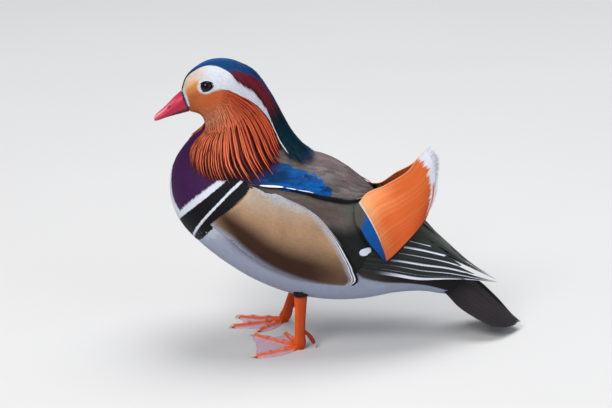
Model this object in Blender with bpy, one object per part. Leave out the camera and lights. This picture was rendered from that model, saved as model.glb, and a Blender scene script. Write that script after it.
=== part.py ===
"""A drake mandarin duck, life size, standing at rest with its bill towards -X.

The plumage is one lofted form. Each station of the loft is a flat section of the bird, given by
where the section meets the back and the belly, and by its half width. A place on the form is
(station, degrees): 0 degrees is the middle of the back, 90 the left side, 180 the middle of the
belly. Head, neck, breast, trunk and rump are lengths of that form, a hair apart. Crest, ruffs,
scapulars, wings and flanks are shells that lie on it. Sizes here are in millimetres, with the
ankles over x = 0 and the ground at z = 0, and the meshes are made in metres.
"""

import math

import bmesh
import bpy
import numpy as np
from mathutils import Matrix, Vector

MM = 0.001
GAP = 0.35  # between pieces that meet
SHELL_GAP = 1.15  # under a shell, where two sets of facets face each other
THINNEST = 0.6  # a shell's edge

# Form of the plumage: back x, back z, belly x, belly z, half width,
# level of the greatest width from belly to back, fullness of the section's corners.
STATIONS = (
    (-93.0, 223.0, -86.0, 205.0, 8.5, 0.45, 2.0),
    (-89.0, 234.0, -81.0, 204.0, 13.0, 0.50, 2.0),
    (-81.5, 241.5, -77.5, 202.5, 17.0, 0.52, 2.0),
    (-70.5, 247.5, -75.0, 199.5, 19.5, 0.52, 2.0),
    (-58.0, 249.0, -73.5, 195.0, 20.5, 0.50, 2.0),
    (-45.5, 246.0, -73.0, 190.5, 20.5, 0.48, 2.0),
    (-31.5, 237.0, -74.2, 187.0, 20.5, 0.45, 2.0),
    (-20.5, 219.0, -78.6, 182.8, 21.5, 0.42, 2.0),
    (-15.5, 207.5, -85.5, 178.0, 24.0, 0.42, 2.0),
    (-10.5, 195.5, -92.0, 171.0, 28.0, 0.42, 2.0),
    (-4.0, 182.0, -98.5, 160.5, 34.0, 0.42, 2.0),
    (4.5, 169.5, -102.5, 147.0, 41.0, 0.44, 2.1),
    (13.0, 161.0, -102.5, 129.0, 48.0, 0.46, 2.2),
    (21.0, 156.5, -95.5, 111.0, 53.0, 0.48, 2.3),
    (30.5, 153.0, -81.0, 94.0, 56.0, 0.50, 2.3),
    (41.5, 147.0, -61.0, 76.5, 57.0, 0.50, 2.3),
    (54.0, 138.5, -36.0, 59.5, 56.0, 0.50, 2.3),
    (68.0, 127.5, -8.0, 46.5, 52.0, 0.50, 2.3),
    (81.5, 113.5, 24.0, 38.5, 46.0, 0.50, 2.2),
    (95.5, 98.0, 55.0, 37.0, 38.0, 0.50, 2.1),
    (109.0, 83.0, 84.0, 40.5, 29.0, 0.50, 2.0),
    (124.0, 69.0, 108.0, 40.5, 20.0, 0.50, 2.0),
    (140.0, 55.5, 128.0, 36.5, 12.0, 0.50, 2.0),
)
LENGTHS = (  # name, first and last station, rings
    ("head", 0.0, 10.6, 18),
    ("neck", 0.0, 10.6, 18),
    ("breast", 10.65, 14.0, 8),
    ("trunk", 14.04, 19.0, 8),
    ("rump", 19.04, 22.0, 5),
)
ROUND = 28  # sides of the form
NECK_CUT_AT = (-51.5, 210.0)  # a place, x and z, on the cut that parts head and neck
NECK_CUT_RISE = 43.0  # degrees
CUT_BLOCK = 300.0

# Outlines of the shells, as (station, degrees) on the left side.
CREST_SIDE = (
    (4.5, 33), (5.0, 42), (5.6, 46.5), (6.5, 44.5), (7.2, 38.5),
    (7.8, 34), (8.5, 30.5), (9.2, 29), (10.0, 30.5), (10.9, 34),
)
CREST_START = ((4.5, 33), (4.2, 16), (4.15, 0))
CREST_END = ((10.9, 34), (11.65, 20), (12.0, 0))
CHEEK = ((1.7, 128), (2.8, 118), (3.4, 107), (3.8, 96), (3.84, 86), (3.9, 78))
RUFF_THROAT = (
    (1.7, 128), (3.0, 142.5), (4.4, 151), (6.2, 163), (7.7, 156), (8.6, 150), (9.4, 141), (10.0, 134),
)
RUFF_NAPE = (
    (3.9, 78), (5.5, 65), (6.2, 57), (6.8, 48), (7.5, 41.5), (8.3, 37), (9.1, 35.5), (10.2, 38.5),
)
RUFF_HEM = (
    (10.0, 134), (10.54, 120), (10.9, 109), (11.3, 88), (11.35, 76), (11.1, 62), (10.8, 48), (10.2, 38.5),
)
SCAPULAR_START = (
    (12.25, 1.0), (12.1, 18), (11.9, 28), (11.4, 37), (11.25, 48), (11.35, 58), (11.6, 77),
)
SCAPULAR_MIDDLE = ((12.25, 1.0), (13.5, 0.9), (15.2, 0.9), (17.0, 1.0))
SCAPULAR_HEM = (
    (11.6, 77), (12.2, 64.5), (12.8, 57.7), (13.6, 52.8), (14.4, 49),
    (15.1, 44), (15.8, 38), (16.3, 27), (16.9, 5),
)
SCAPULAR_END = ((17.0, 1.0), (16.9, 5))
FLANK_TOP = (
    (11.6, 78.5), (12.2, 74), (12.65, 71.8), (13.15, 66.8), (13.9, 65), (14.6, 64.2),
    (15.3, 65.5), (16.0, 69.5), (16.6, 74.5), (17.2, 81.5), (17.8, 90.2), (18.15, 99),
)
FLANK_START = ((11.6, 78.5), (12.1, 92), (12.4, 105), (12.9, 124))
FLANK_LOW = ((12.9, 124), (13.74, 119.5), (15.5, 120), (17.1, 115), (18.2, 109))
FLANK_END = ((18.15, 99), (18.2, 104), (18.2, 109))
WING_TOP = (
    (12.2, 67.5), (12.8, 60.2), (13.6, 55.2), (14.4, 51.2),
    (15.1, 46.4), (15.8, 40.6), (16.4, 32), (17.0, 18),
)
WING_REAR = ((17.0, 18), (17.3, 40), (17.6, 65), (17.8, 88.2))
WING_TO_FLANK = 2.0  # degrees between them

# The wing tip, as (station, degrees, height over the form) along its front and as places on its edges.
TIP_FRONT = ((17.2, 1.2, 5), (17.22, 18, 4.4), (17.5, 40, 3.9), (17.82, 65, 3.8), (18.0, 88, 4.0))
TIP_RIDGE = ((96, -0.8, 110.5), (113, -0.8, 97.5), (130, -0.8, 80), (152, -0.8, 59.5), (175, -0.8, 45.5))
TIP_LOW = ((82, -45, 71), (104, -39.5, 65), (128, -29, 60), (152, -16, 52.5), (175, -3, 44.5))

# The raised sail of the innermost wing quill: its shaft on the form, and its other edges as places.
SHAFT = (
    (16.2, 35.5, 6.3), (16.84, 43.8, 6.7), (17.34, 50.5, 7.3), (17.76, 56.8, 7.9), (18.14, 64, 8.7),
    (18.48, 72.2, 9.7),
)
SAIL_TOP = (
    (59.5, -24, 136), (67, -16, 136.8), (76.5, -11.5, 138.8), (95.5, -10, 150), (104, -7.5, 160.3),
    (113.2, -2.5, 167.5),
)
SAIL_FRINGE = ((120.3, -5, 157.5), (121.9, -8.5, 140.5), (119.7, -13, 127.5), (111.8, -19, 111.7))
SAIL_LOW = ((82.0, -46.5, 87.5), (92.0, -42, 96.0), (102.3, -32, 104))
SAIL_THICK = 0.9
FAR_SAIL_LEAN = 6.0  # degrees that the right sail lies further back, about its middle
FAR_SAIL_PIVOT = (95.0, -20.0, 125.0)
FAR_SAIL_SHIFT = (1.5, -0.8, -1.6)

# Bill sections from feathers to nail: culmen x, z, lower edge x, z, half width.
BILL = (
    (-93.4, 222.4, -86.6, 205.0, 8.3),
    (-99.0, 217.4, -93.6, 203.3, 7.8),
    (-104.2, 211.8, -100.2, 201.8, 7.2),
    (-109.2, 206.8, -106.4, 200.2, 6.6),
    (-113.0, 203.7, -111.8, 198.2, 5.7),
    (-115.2, 201.4, -114.6, 196.9, 4.4),
    (-116.2, 199.2, -115.8, 196.7, 1.6),
)
GAPE = 0.26  # level of the mouth line, from lower edge to culmen
LOWER_BILL_REACH = 0.74  # of the bill's length

EYE_AT = (2.85, 71.5)
EYE_ACROSS = 5.2
EYE_DEEP = 4.0
EYE_SUNK = 1.9
SOCKET = 1.09  # socket over eyeball

# The tail: middle line and edge of its upper side.
TAIL_RIDGE = (
    (143.2, 0, 55.0), (151, 0, 50), (161, 0, 42.5), (170, 0, 34), (179, 0, 25), (189, 0, 14), (197.3, 0, 6),
)
TAIL_EDGE = (
    (131.4, -13.5, 39), (141, -19, 30.5), (155, -23.5, 22), (169, -24, 14.5), (180, -19.5, 10.5),
    (190, -10.5, 7.5), (196.6, -2.5, 5.5),
)
TAIL_BULGE = 3.0
TAIL_THICK = (2.6, 1.0)

ANKLES = {"left": (3.5, -31.0), "right": (-6.5, 31.0)}
TARSUS = (  # height, half length, half width
    (5.0, 5.0, 4.0), (12, 4.7, 3.1), (26, 4.8, 3.0), (38, 5.3, 3.5), (49, 6.0, 4.5), (60, 6.6, 5.4),
)
TARSUS_LEAN = {"left": 0.02, "right": 0.34}  # backward for each step up
TOES = {  # inner, middle and outer: degrees from straight ahead towards the right side, and length
    "left": ((72, 34), (38, 48), (-24, 43)),
    "right": ((-45, 33), (-15, 47), (14, 40)),
}
TOE_RADIUS = 2.7
TOE_TAPER = 0.22
TOE_HIGH = 1.6  # height of a toe over its radius
HEEL_RADIUS = 4.2
HEEL_HIGH = 4.4
WEB_THICK = 1.1
WEB_DIP = 0.80  # of the way out, where the web's edge dips between two toes
WEB_SHARES = (0.25, 0.5, 0.75)  # from toe to toe, where the web has spokes
FOOT_RINGS = (0.12, 0.3, 0.5, 0.7, 0.86, 1.0)
CLAW_LONG = 6.5
CLAW_RADIUS = 1.3
# The hind toe and its claw: backward from the ankle, height, radius.
HALLUX = ((6.3, 13.4, 1.5), (8.4, 11.0, 1.9), (10.5, 7.8, 1.8), (11.9, 4.9, 1.4))
HALLUX_CLAW = ((12.15, 4.3, 1.1), (13.0, 2.4, 0.8), (13.3, 0.7, 0.3))


def clear_scene():
    for old in list(bpy.data.objects):
        bpy.data.objects.remove(old)


def new_collection(name):
    made = bpy.data.collections.new(name)
    bpy.context.scene.collection.children.link(made)
    return made


def new_material(name, colour, roughness, metallic=0.0):
    made = bpy.data.materials.new(name)
    made.use_nodes = True
    shader = made.node_tree.nodes["Principled BSDF"]
    shader.inputs["Base Color"].default_value = (*colour, 1.0)
    shader.inputs["Roughness"].default_value = roughness
    shader.inputs["Metallic"].default_value = metallic
    return made


def smooth_rows(rows, at):
    """Rows of numbers read at a fractional row, along a smooth curve through them."""
    rows = np.asarray(rows, float)
    at = np.clip(np.asarray(at, float), 0, len(rows) - 1)
    low = np.clip(np.floor(at).astype(int), 0, len(rows) - 2)
    slope = np.gradient(rows, axis=0)
    f = (at - low)[..., None]
    return (
        rows[low] * (2 * f**3 - 3 * f**2 + 1)
        + rows[low + 1] * (3 * f**2 - 2 * f**3)
        + slope[low] * (f**3 - 2 * f**2 + f)
        + slope[low + 1] * (f**3 - f**2)
    )


def curve(points, count, column=None):
    """Points on the smooth curve through a few, evenly by distance or by one of their columns."""
    fine = smooth_rows(points, np.linspace(0, len(points) - 1, 200))
    if column is None:
        along = np.concatenate([[0], np.cumsum(np.linalg.norm(np.diff(fine, axis=0), axis=1))])
    else:
        along = np.abs(fine[:, column] - fine[0, column])
    want = np.linspace(0, along[-1], count)
    return np.stack([np.interp(want, along, fine[:, k]) for k in range(fine.shape[1])], -1)


def patch(first, last, start, end):
    """A grid between four curves that meet at its corners: first and last run along the rows."""
    rows, columns = len(first), len(start)
    u = np.linspace(0, 1, rows)[:, None, None]
    w = np.linspace(0, 1, columns)[None, :, None]
    sides = (1 - w) * first[:, None] + w * last[:, None]
    ends = (1 - u) * start[None] + u * end[None]
    corners = (1 - u) * ((1 - w) * first[0] + w * last[0]) + u * ((1 - w) * first[-1] + w * last[-1])
    return sides + ends - corners


def form(station, degrees):
    """Places on the plumage's form: a superellipse in each flat section."""
    station, degrees = np.broadcast_arrays(np.asarray(station, float), np.asarray(degrees, float))
    row = np.moveaxis(smooth_rows(STATIONS, station), -1, 0)
    back_x, back_z, belly_x, belly_z, half, level, full = row
    angle = np.radians(degrees)
    rise = np.sign(np.cos(angle)) * np.abs(np.cos(angle)) ** (2 / full)
    side = np.sign(np.sin(angle)) * np.abs(np.sin(angle)) ** (2 / full)
    widest_x = belly_x + level * (back_x - belly_x)
    widest_z = belly_z + level * (back_z - belly_z)
    up, down = np.maximum(rise, 0), np.maximum(-rise, 0)
    x = widest_x + (back_x - widest_x) * up + (belly_x - widest_x) * down
    z = widest_z + (back_z - widest_z) * up + (belly_z - widest_z) * down
    return np.stack([x, -half * side, z], -1)


def outward(station, degrees):
    """Unit normals of the form, from small steps along it and round it."""
    along = form(np.asarray(station) + 0.05, degrees) - form(np.asarray(station) - 0.05, degrees)
    around = form(station, np.asarray(degrees) + 1) - form(station, np.asarray(degrees) - 1)
    normal = np.cross(around, along)
    return normal / np.linalg.norm(normal, axis=-1, keepdims=True)


def raised(places, height):
    """Places (station, degrees) lifted off the form by a height."""
    station, degrees = places[..., 0], places[..., 1]
    return form(station, degrees) + outward(station, degrees) * np.asarray(height)[..., None]


def grid_normals(grid):
    """Unit normals of a grid of points, on the side of rows cross columns."""
    normal = np.cross(np.gradient(grid, axis=0), np.gradient(grid, axis=1))
    return normal / np.linalg.norm(normal, axis=-1, keepdims=True)


def upward_normals(grid):
    """Unit normals of a grid of points, on the side that faces up at its middle."""
    normal = grid_normals(grid)
    return normal * np.sign(normal[len(grid) // 2, grid.shape[1] // 2, 2])


def mirrored(points):
    return points * np.array([1.0, -1.0, 1.0])


def add(name, points, faces, group, finish):
    """An object from points in millimetres, its faces turned outward and shaded smooth."""
    mesh = bpy.data.meshes.new(name)
    mesh.from_pydata([tuple(p) for p in np.asarray(points) * MM], [], faces)
    shape = bmesh.new()
    shape.from_mesh(mesh)
    bmesh.ops.recalc_face_normals(shape, faces=shape.faces)
    shape.to_mesh(mesh)
    shape.free()
    mesh.shade_smooth()
    mesh.set_sharp_from_angle(angle=math.radians(40))
    mesh.materials.append(finish)
    made = bpy.data.objects.new(name, mesh)
    group.objects.link(made)
    return made


def loft(name, rings, group, finish):
    """A closed solid through rings of points: quads between the rings and a cap on each end."""
    rings = np.asarray(rings, float)
    count, sides = rings.shape[:2]
    faces = [
        (r * sides + k, r * sides + (k + 1) % sides, (r + 1) * sides + (k + 1) % sides, (r + 1) * sides + k)
        for r in range(count - 1)
        for k in range(sides)
    ]
    faces.append(tuple(range(sides))[::-1])
    faces.append(tuple((count - 1) * sides + k for k in range(sides)))
    return add(name, rings.reshape(-1, 3), faces, group, finish)


def plate(name, outer, inner, group, finish):
    """A closed solid between two grids of points of the same size."""
    rows, columns = outer.shape[:2]
    count = rows * columns
    faces = []
    for r in range(rows - 1):
        for c in range(columns - 1):
            a = r * columns + c
            quad = (a, a + 1, a + columns + 1, a + columns)
            faces.append(quad)
            faces.append(tuple(k + count for k in reversed(quad)))
    rim = list(range(columns))
    rim += [r * columns + columns - 1 for r in range(1, rows)]
    rim += [(rows - 1) * columns + c for c in range(columns - 2, -1, -1)]
    rim += [r * columns for r in range(rows - 2, 0, -1)]
    for a, b in zip(rim, rim[1:] + rim[:1]):
        faces.append((a, a + count, b + count, b))
    points = np.concatenate([outer.reshape(-1, 3), inner.reshape(-1, 3)])
    return add(name, points, faces, group, finish)


def subtract(target, cutter):
    change = target.modifiers.new(f"clear of {cutter.name}", "BOOLEAN")
    change.operation = "DIFFERENCE"
    change.solver = "EXACT"
    change.object = cutter


def as_cutter(made):
    made.hide_render = True
    made.display_type = "WIRE"
    return made


def both_sides(make):
    """Calls make(side, place) for the left and the right, place mirroring the right's points."""
    return {side: make(side, place) for side, place in (("left", np.asarray), ("right", mirrored))}


def make_body(group, cutters, finish):
    """Lengths of the form, from head to rump. Head and neck are one length, parted by a slanting cut."""
    degrees = np.arange(ROUND) * 360 / ROUND
    made = {}
    for name, first, last, rings in LENGTHS:
        stations = np.linspace(first, last, rings)
        made[name] = loft(name, form(stations[:, None], degrees[None]), group, finish[name])
    at = Matrix.Translation((NECK_CUT_AT[0] * MM, 0, NECK_CUT_AT[1] * MM))
    turn = Matrix.Rotation(math.radians(-NECK_CUT_RISE), 4, "Y")
    for name, side in (("head", -1), ("neck", 1)):
        away = Matrix.Translation((0, 0, side * (CUT_BLOCK - GAP) * MM / 2))
        shape = bmesh.new()
        bmesh.ops.create_cube(shape, size=CUT_BLOCK * MM)
        bmesh.ops.transform(shape, matrix=at @ turn @ away, verts=shape.verts)
        mesh = bpy.data.meshes.new(f"not_{name}")
        shape.to_mesh(mesh)
        shape.free()
        cutter = bpy.data.objects.new(f"not_{name}", mesh)
        cutters.objects.link(cutter)
        subtract(made[name], as_cutter(cutter))
    return made


def make_clearance(cutters, finish):
    """The trunk's room, a gap wider than the trunk, which the legs stop at."""
    name, first, last, rings = next(row for row in LENGTHS if row[0] == "trunk")
    stations = np.linspace(first, last, rings)[:, None]
    degrees = np.arange(ROUND)[None] * 360 / ROUND
    room = form(stations, degrees) + outward(stations, degrees) * GAP
    return as_cutter(loft(f"{name}_clearance", room, cutters, finish))


def shell(name, outline, thickness, place, group, finish, size):
    """A shell on the form, between four outlines, as thick as thickness(along, across) says."""
    rows, columns = size
    first, last, start, end = outline
    lengthways = [curve(side, rows, column=0) for side in (first, last)]
    crossways = [curve(side, columns, column=1) for side in (start, end)]
    places = patch(*lengthways, *crossways)
    along = np.broadcast_to(np.linspace(0, 1, rows)[:, None], (rows, columns))
    across = np.broadcast_to(np.linspace(0, 1, columns)[None], (rows, columns))
    thick = thickness(along, across)
    outer = raised(places, SHELL_GAP + thick)
    inner = raised(places, np.full_like(thick, SHELL_GAP))
    return plate(name, place(outer), place(inner), group, finish)


def make_crest(group, finish):
    """The long feathers of crown and nape, ending in a blunt brush over the shoulders."""

    def across_back(half):
        other = [(station, -degrees) for station, degrees in half[-2::-1]]
        return tuple(half) + tuple(other)

    side = CREST_SIDE
    far = tuple((station, -degrees) for station, degrees in side)
    outline = (side, far, across_back(CREST_START), across_back(CREST_END))

    def thickness(along, across):
        edge = 1 - 0.55 * (2 * across - 1) ** 2
        return THINNEST + 5.8 * along**1.2 * edge

    return shell("crest", outline, thickness, np.asarray, group, finish, (17, 9))


def make_ruffs(group, finish):
    """The hackles of cheek and neck, lying over the breast."""
    outline = (RUFF_THROAT, RUFF_NAPE, CHEEK, RUFF_HEM)

    def thickness(along, across):
        return THINNEST + 3.0 * along**1.2 * (0.25 + 0.75 * across**0.5)

    def make(side, place):
        return shell(f"ruff_{side}", outline, thickness, place, group, finish, (10, 10))

    return both_sides(make)


def make_scapulars(group, finish):
    """The loose feathers of the shoulder, which round off the back."""
    outline = (SCAPULAR_MIDDLE, SCAPULAR_HEM, SCAPULAR_START, SCAPULAR_END)

    def thickness(along, across):
        crown = 1.0 + 3.0 * np.sin(np.pi * along) ** 0.7
        return THINNEST + crown * (1 - across**2.2) + 1.2 * across

    def make(side, place):
        return shell(f"scapulars_{side}", outline, thickness, place, group, finish, (11, 9))

    return both_sides(make)


def make_wings(group, finish):
    """The closed wing between the scapulars and the flank."""
    low = tuple((station, degrees - WING_TO_FLANK) for station, degrees in FLANK_TOP[1:-1])
    start = (WING_TOP[0], ((WING_TOP[0][0] + low[0][0]) / 2, (WING_TOP[0][1] + low[0][1]) / 2), low[0])
    outline = (WING_TOP, low, start, WING_REAR)

    def thickness(along, across):
        return THINNEST + 0.6 + 2.0 * along

    def make(side, place):
        return shell(f"wing_{side}", outline, thickness, place, group, finish, (10, 6))

    return both_sides(make)


def make_flanks(group, finish):
    """The buff feathers of the side, which lie over the wing's lower edge."""
    outline = (FLANK_TOP, FLANK_LOW, FLANK_START, FLANK_END)

    def thickness(along, across):
        return THINNEST + 2.9 * along**0.6 * (1 - across) ** 0.7

    def make(side, place):
        return shell(f"flank_{side}", outline, thickness, place, group, finish, (10, 6))

    return both_sides(make)


def make_wing_tips(group, finish):
    """The folded quills behind the wing, which meet over the rump as a roof and run to a point."""
    front = np.asarray(TIP_FRONT, float)
    front = raised(front[:, :2], front[:, 2])
    ridge = np.concatenate([front[:1], TIP_RIDGE])
    low = np.concatenate([front[-1:], TIP_LOW])
    point = np.stack([ridge[-1], low[-1]])
    rows, columns = 10, 6
    outer = patch(curve(ridge, rows), curve(low, rows), curve(front, columns), curve(point, columns))
    across = np.linspace(0, 1, columns)[None, :]
    along = np.linspace(0, 1, rows)[:, None]
    bulge = 1.5 * np.sin(np.pi * across) * np.sin(np.pi * (0.15 + 0.75 * along)) * along**0.3
    thick = 2.6 - 1.4 * along + 0 * across
    outer = outer + upward_normals(outer) * bulge[..., None]
    inner = outer - upward_normals(outer) * thick[..., None]
    for sheet in (outer, inner):
        sheet[..., 1] = np.minimum(sheet[..., 1], -GAP)

    def make(side, place):
        return plate(f"wingtip_{side}", place(outer), place(inner), group, finish)

    return both_sides(make)


def make_sails(group, finish):
    """The broad raised vane on each side of the back."""
    shaft = np.asarray(SHAFT, float)
    shaft = raised(shaft[:, :2], shaft[:, 2])
    top = np.concatenate([shaft[:1], SAIL_TOP])
    low = np.concatenate([shaft[-1:], SAIL_LOW, SAIL_FRINGE[-1:]])
    fringe = np.concatenate([SAIL_TOP[-1:], SAIL_FRINGE])
    rows, columns = 8, 8
    sheet = patch(curve(shaft, rows), curve(fringe, rows), curve(top, columns), curve(low, columns))
    normal = grid_normals(sheet)
    near, far = sheet + normal * SAIL_THICK / 2, sheet - normal * SAIL_THICK / 2
    pivot = np.array(FAR_SAIL_PIVOT)
    lean = math.radians(FAR_SAIL_LEAN)
    turn = np.array([[math.cos(lean), 0, math.sin(lean)], [0, 1, 0], [-math.sin(lean), 0, math.cos(lean)]])

    def leant(points):
        return mirrored((points - pivot) @ turn.T + pivot + np.array(FAR_SAIL_SHIFT))

    return {
        "left": plate("sail_left", near, far, group, finish),
        "right": plate("sail_right", leant(near), leant(far), group, finish),
    }


def make_tail(group, finish):
    """The closed tail, a roof of quills that falls to a point."""
    ridge, edge = curve(TAIL_RIDGE, 8), curve(TAIL_EDGE, 8)
    across = np.linspace(-1, 1, 9)
    share = np.abs(across)[None, :, None]
    side = np.where(across > 0, -1.0, 1.0)[None, :]
    outer = ridge[:, None] * (1 - share) + edge[:, None] * share
    outer[..., 1] *= side
    outer[..., 2] += TAIL_BULGE * np.sin(np.pi * share[..., 0]) * np.linspace(1, 0.3, 8)[:, None]
    thick = np.linspace(*TAIL_THICK, 8)[:, None]
    inner = outer.copy()
    inner[..., 2] -= thick * 0.8
    inner[..., 0] -= thick * 0.6
    return plate("tail", outer, inner, group, finish)


def make_bill(group, finish):
    """The upper bill down to the mouth line, and the narrower lower bill under it."""
    rows = np.asarray(BILL, float)
    upper_rows = smooth_rows(rows, np.linspace(0, len(rows) - 1, 10))
    lower_rows = smooth_rows(rows, np.linspace(0, (len(rows) - 1) * LOWER_BILL_REACH, 7))

    def half(rows, top, width, fullness):
        """A half ellipse in each section, from the mouth line up to the culmen or down to the chin."""
        turn = np.linspace(0, math.pi, 9)[None, :]
        back = np.stack([rows[:, 0], rows[:, 1]], -1)
        belly = np.stack([rows[:, 2], rows[:, 3]], -1)
        upward = (back - belly) / np.linalg.norm(back - belly, axis=1, keepdims=True)
        mouth = belly + GAPE * (back - belly) - (0 if top else GAP) * upward
        reach = (back if top else belly) - mouth
        rise = np.sin(turn) ** fullness
        x = mouth[:, :1] + reach[:, :1] * rise
        z = mouth[:, 1:] + reach[:, 1:] * rise
        y = rows[:, 4:] * width * np.cos(turn) + 0 * x
        return np.stack([x, y, z], -1)

    upper = half(upper_rows, True, 1.0, 0.85)
    lower = half(lower_rows, False, 0.86, 0.9)
    return {
        "bill_upper": loft("bill_upper", upper, group, finish),
        "bill_lower": loft("bill_lower", lower, group, finish),
    }


def make_eyes(head, group, cutters, finish):
    """Eyeballs flattened towards the skull, each in a socket of the same shape."""
    centre = form(*EYE_AT) - outward(*EYE_AT) * EYE_SUNK
    facing = outward(*EYE_AT)

    def make(side, place):
        at, look = Vector(place(centre) * MM), Vector(place(facing))
        for name, grow, target in ((f"eye_{side}", 1.0, group), (f"socket_{side}", SOCKET, cutters)):
            shape = bmesh.new()
            bmesh.ops.create_uvsphere(shape, u_segments=14, v_segments=9, radius=MM)
            turn = look.to_track_quat("Z", "Y").to_matrix().to_4x4()
            size = Matrix.Diagonal((EYE_ACROSS * grow, EYE_ACROSS * grow, EYE_DEEP * grow, 1.0))
            bmesh.ops.transform(shape, matrix=Matrix.Translation(at) @ turn @ size, verts=shape.verts)
            mesh = bpy.data.meshes.new(name)
            shape.to_mesh(mesh)
            shape.free()
            mesh.shade_smooth()
            mesh.materials.append(finish)
            made = bpy.data.objects.new(name, mesh)
            target.objects.link(made)
            if grow > 1:
                subtract(head, as_cutter(made))
        return made

    return both_sides(make)


def make_legs(trunk_clearance, group, finish):
    """The bare shanks, flattened sideways, from the ankle up to the belly's feathers."""
    turn = np.arange(12) * 2 * math.pi / 12
    made = {}
    for side, (x, y) in ANKLES.items():
        rows = smooth_rows(TARSUS, np.linspace(0, len(TARSUS) - 1, 8))
        rings = np.stack(
            [
                x + TARSUS_LEAN[side] * rows[:, :1] + rows[:, 1:2] * np.cos(turn)[None],
                y + rows[:, 2:3] * np.sin(turn)[None],
                rows[:, :1] + 0 * turn[None],
            ],
            -1,
        )
        made[side] = loft(f"leg_{side}", rings, group, finish)
        subtract(made[side], trunk_clearance)
    return made


def toe_direction(degrees):
    return np.array([-math.cos(math.radians(degrees)), math.sin(math.radians(degrees)), 0.0])


def foot_spokes(toes):
    """Directions in degrees and lengths of the spokes of a foot: toes, webs between them, heel."""
    spokes, reach = [], []
    for (angle, length), following in zip(toes, toes[1:] + [None]):
        width = math.degrees(math.atan2(TOE_RADIUS * 0.8, length))
        spokes += [angle - width, angle, angle + width]
        reach += [length - 1.2, length, length - 1.2]
        for share in WEB_SHARES if following else ():
            spokes.append(angle + share * (following[0] - angle))
            straight = 1 / ((1 - share) / length + share / following[1])
            reach.append(straight * (WEB_DIP + 0.1 * abs(2 * share - 1)))
    heel = np.array([-0.8, -0.5, -0.2, 0.2, 0.5, 0.8])
    behind = (spokes[0] + spokes[-1]) / 2 + 180
    open_angle = 360 - (spokes[-1] - spokes[0])
    spokes = np.concatenate([spokes, behind + heel * open_angle / 2])
    return spokes, np.concatenate([reach, np.full(len(heel), HEEL_RADIUS)])


def foot_height(distance, turn, toes):
    """The greatest of the web, the heel's dome and each toe's round back."""
    height = np.full(distance.shape, WEB_THICK)
    height[:, -1] = THINNEST
    for angle, length in toes:
        away = turn - math.radians(angle)
        off = np.abs(distance * np.sin(away))
        ahead = distance * np.cos(away)
        radius = TOE_RADIUS * (1 - TOE_TAPER * ahead / length)
        end = np.clip((length - ahead) / 3.0, 0, 1) ** 0.5
        back = TOE_HIGH * np.sqrt(np.maximum(radius**2 - off**2, 0)) * end
        height = np.maximum(height, np.where((ahead > 0) & (ahead <= length + 0.01), back, 0))
    dome = HEEL_HIGH * np.sqrt(np.maximum(1 - (distance / (HEEL_RADIUS * 1.35)) ** 2, 0))
    return np.maximum(height, dome)


def make_feet(group, finish):
    """Three toes joined by a web, as heights over a fan of spokes round the ankle, flat below."""
    made = {}
    for side, (x, y) in ANKLES.items():
        toes = sorted(TOES[side])
        spokes, reach = foot_spokes(toes)
        distance = reach[:, None] * np.array(FOOT_RINGS)[None]
        turn = np.radians(spokes)[:, None]
        height = foot_height(distance, turn, toes)
        px = x - distance * np.cos(turn)
        py = y + distance * np.sin(turn)
        count, rings = distance.shape
        top = np.stack([px, py, height], -1).reshape(-1, 3)
        base = np.stack([px, py, 0 * px], -1).reshape(-1, 3)
        points = [(x, y, HEEL_HIGH), (x, y, 0.0)] + list(top) + list(base)
        under = count * rings
        faces = []
        for i in range(count):
            a, b = 2 + i * rings, 2 + (i + 1) % count * rings
            faces.append((0, b, a))
            faces.append((1, a + under, b + under))
            for k in range(rings - 1):
                quad = (a + k, b + k, b + k + 1, a + k + 1)
                faces.append(quad)
                faces.append(tuple(corner + under for corner in reversed(quad)))
            a, b = a + rings - 1, b + rings - 1
            faces.append((a, b, b + under, a + under))
        made[side] = add(f"foot_{side}", points, faces, group, finish)
    return made


def horn(name, points, radii, sides, group, finish):
    """A tapering round loft whose rings stand across its own line of points."""
    points, radii = np.asarray(points, float), np.asarray(radii, float)
    line = np.gradient(points, axis=0)
    line /= np.linalg.norm(line, axis=1, keepdims=True)
    across = np.cross(line, [0, 0, 1.0])
    across /= np.linalg.norm(across, axis=1, keepdims=True)
    up = np.cross(across, line)
    turn = np.arange(sides) * 2 * math.pi / sides
    rings = points[:, None] + radii[:, None, None] * (
        across[:, None] * np.cos(turn)[None, :, None] + up[:, None] * np.sin(turn)[None, :, None]
    )
    rings[..., 2] = np.maximum(rings[..., 2], 0.05)
    return loft(name, rings, group, finish)


def make_claws(group, finish):
    """A curved claw ahead of each toe."""
    for side, (x, y) in ANKLES.items():
        for number, (degrees, length) in enumerate(TOES[side], 2):
            ahead = toe_direction(degrees)
            share = np.array([0.0, 0.5, 1.0])
            points = np.array([x, y, 0.0]) + ahead * (length + GAP + 0.3 + CLAW_LONG * share[:, None])
            points[:, 2] = 1.9 - 1.2 * share**2
            horn(f"claw_{side}_{number}", points, CLAW_RADIUS * (1 - 0.75 * share), 6, group, finish)


def make_hind_toes(group, finish, claw_finish):
    """The short raised hind toe and its claw."""
    for side, (x, y) in ANKLES.items():
        pieces = ((f"hind_toe_{side}", HALLUX, finish), (f"claw_{side}_1", HALLUX_CLAW, claw_finish))
        for name, rows, material in pieces:
            back, height, radius = np.asarray(rows, float).T
            points = np.stack([x + back + TARSUS_LEAN[side] * height, y + 0 * back, height], -1)
            horn(name, points, radius, 8, group, material)


def centre_on_origin(group):
    """Moves every piece so that the box of them all stands centred on the origin."""
    corners = np.array([v.co for made in group.objects for v in made.data.vertices])
    low, high = corners.min(axis=0), corners.max(axis=0)
    shift = Vector((-(low[0] + high[0]) / 2, 0, -low[2]))
    for made in bpy.data.objects:
        made.data.transform(Matrix.Translation(shift))
        made.data.update()


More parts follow.
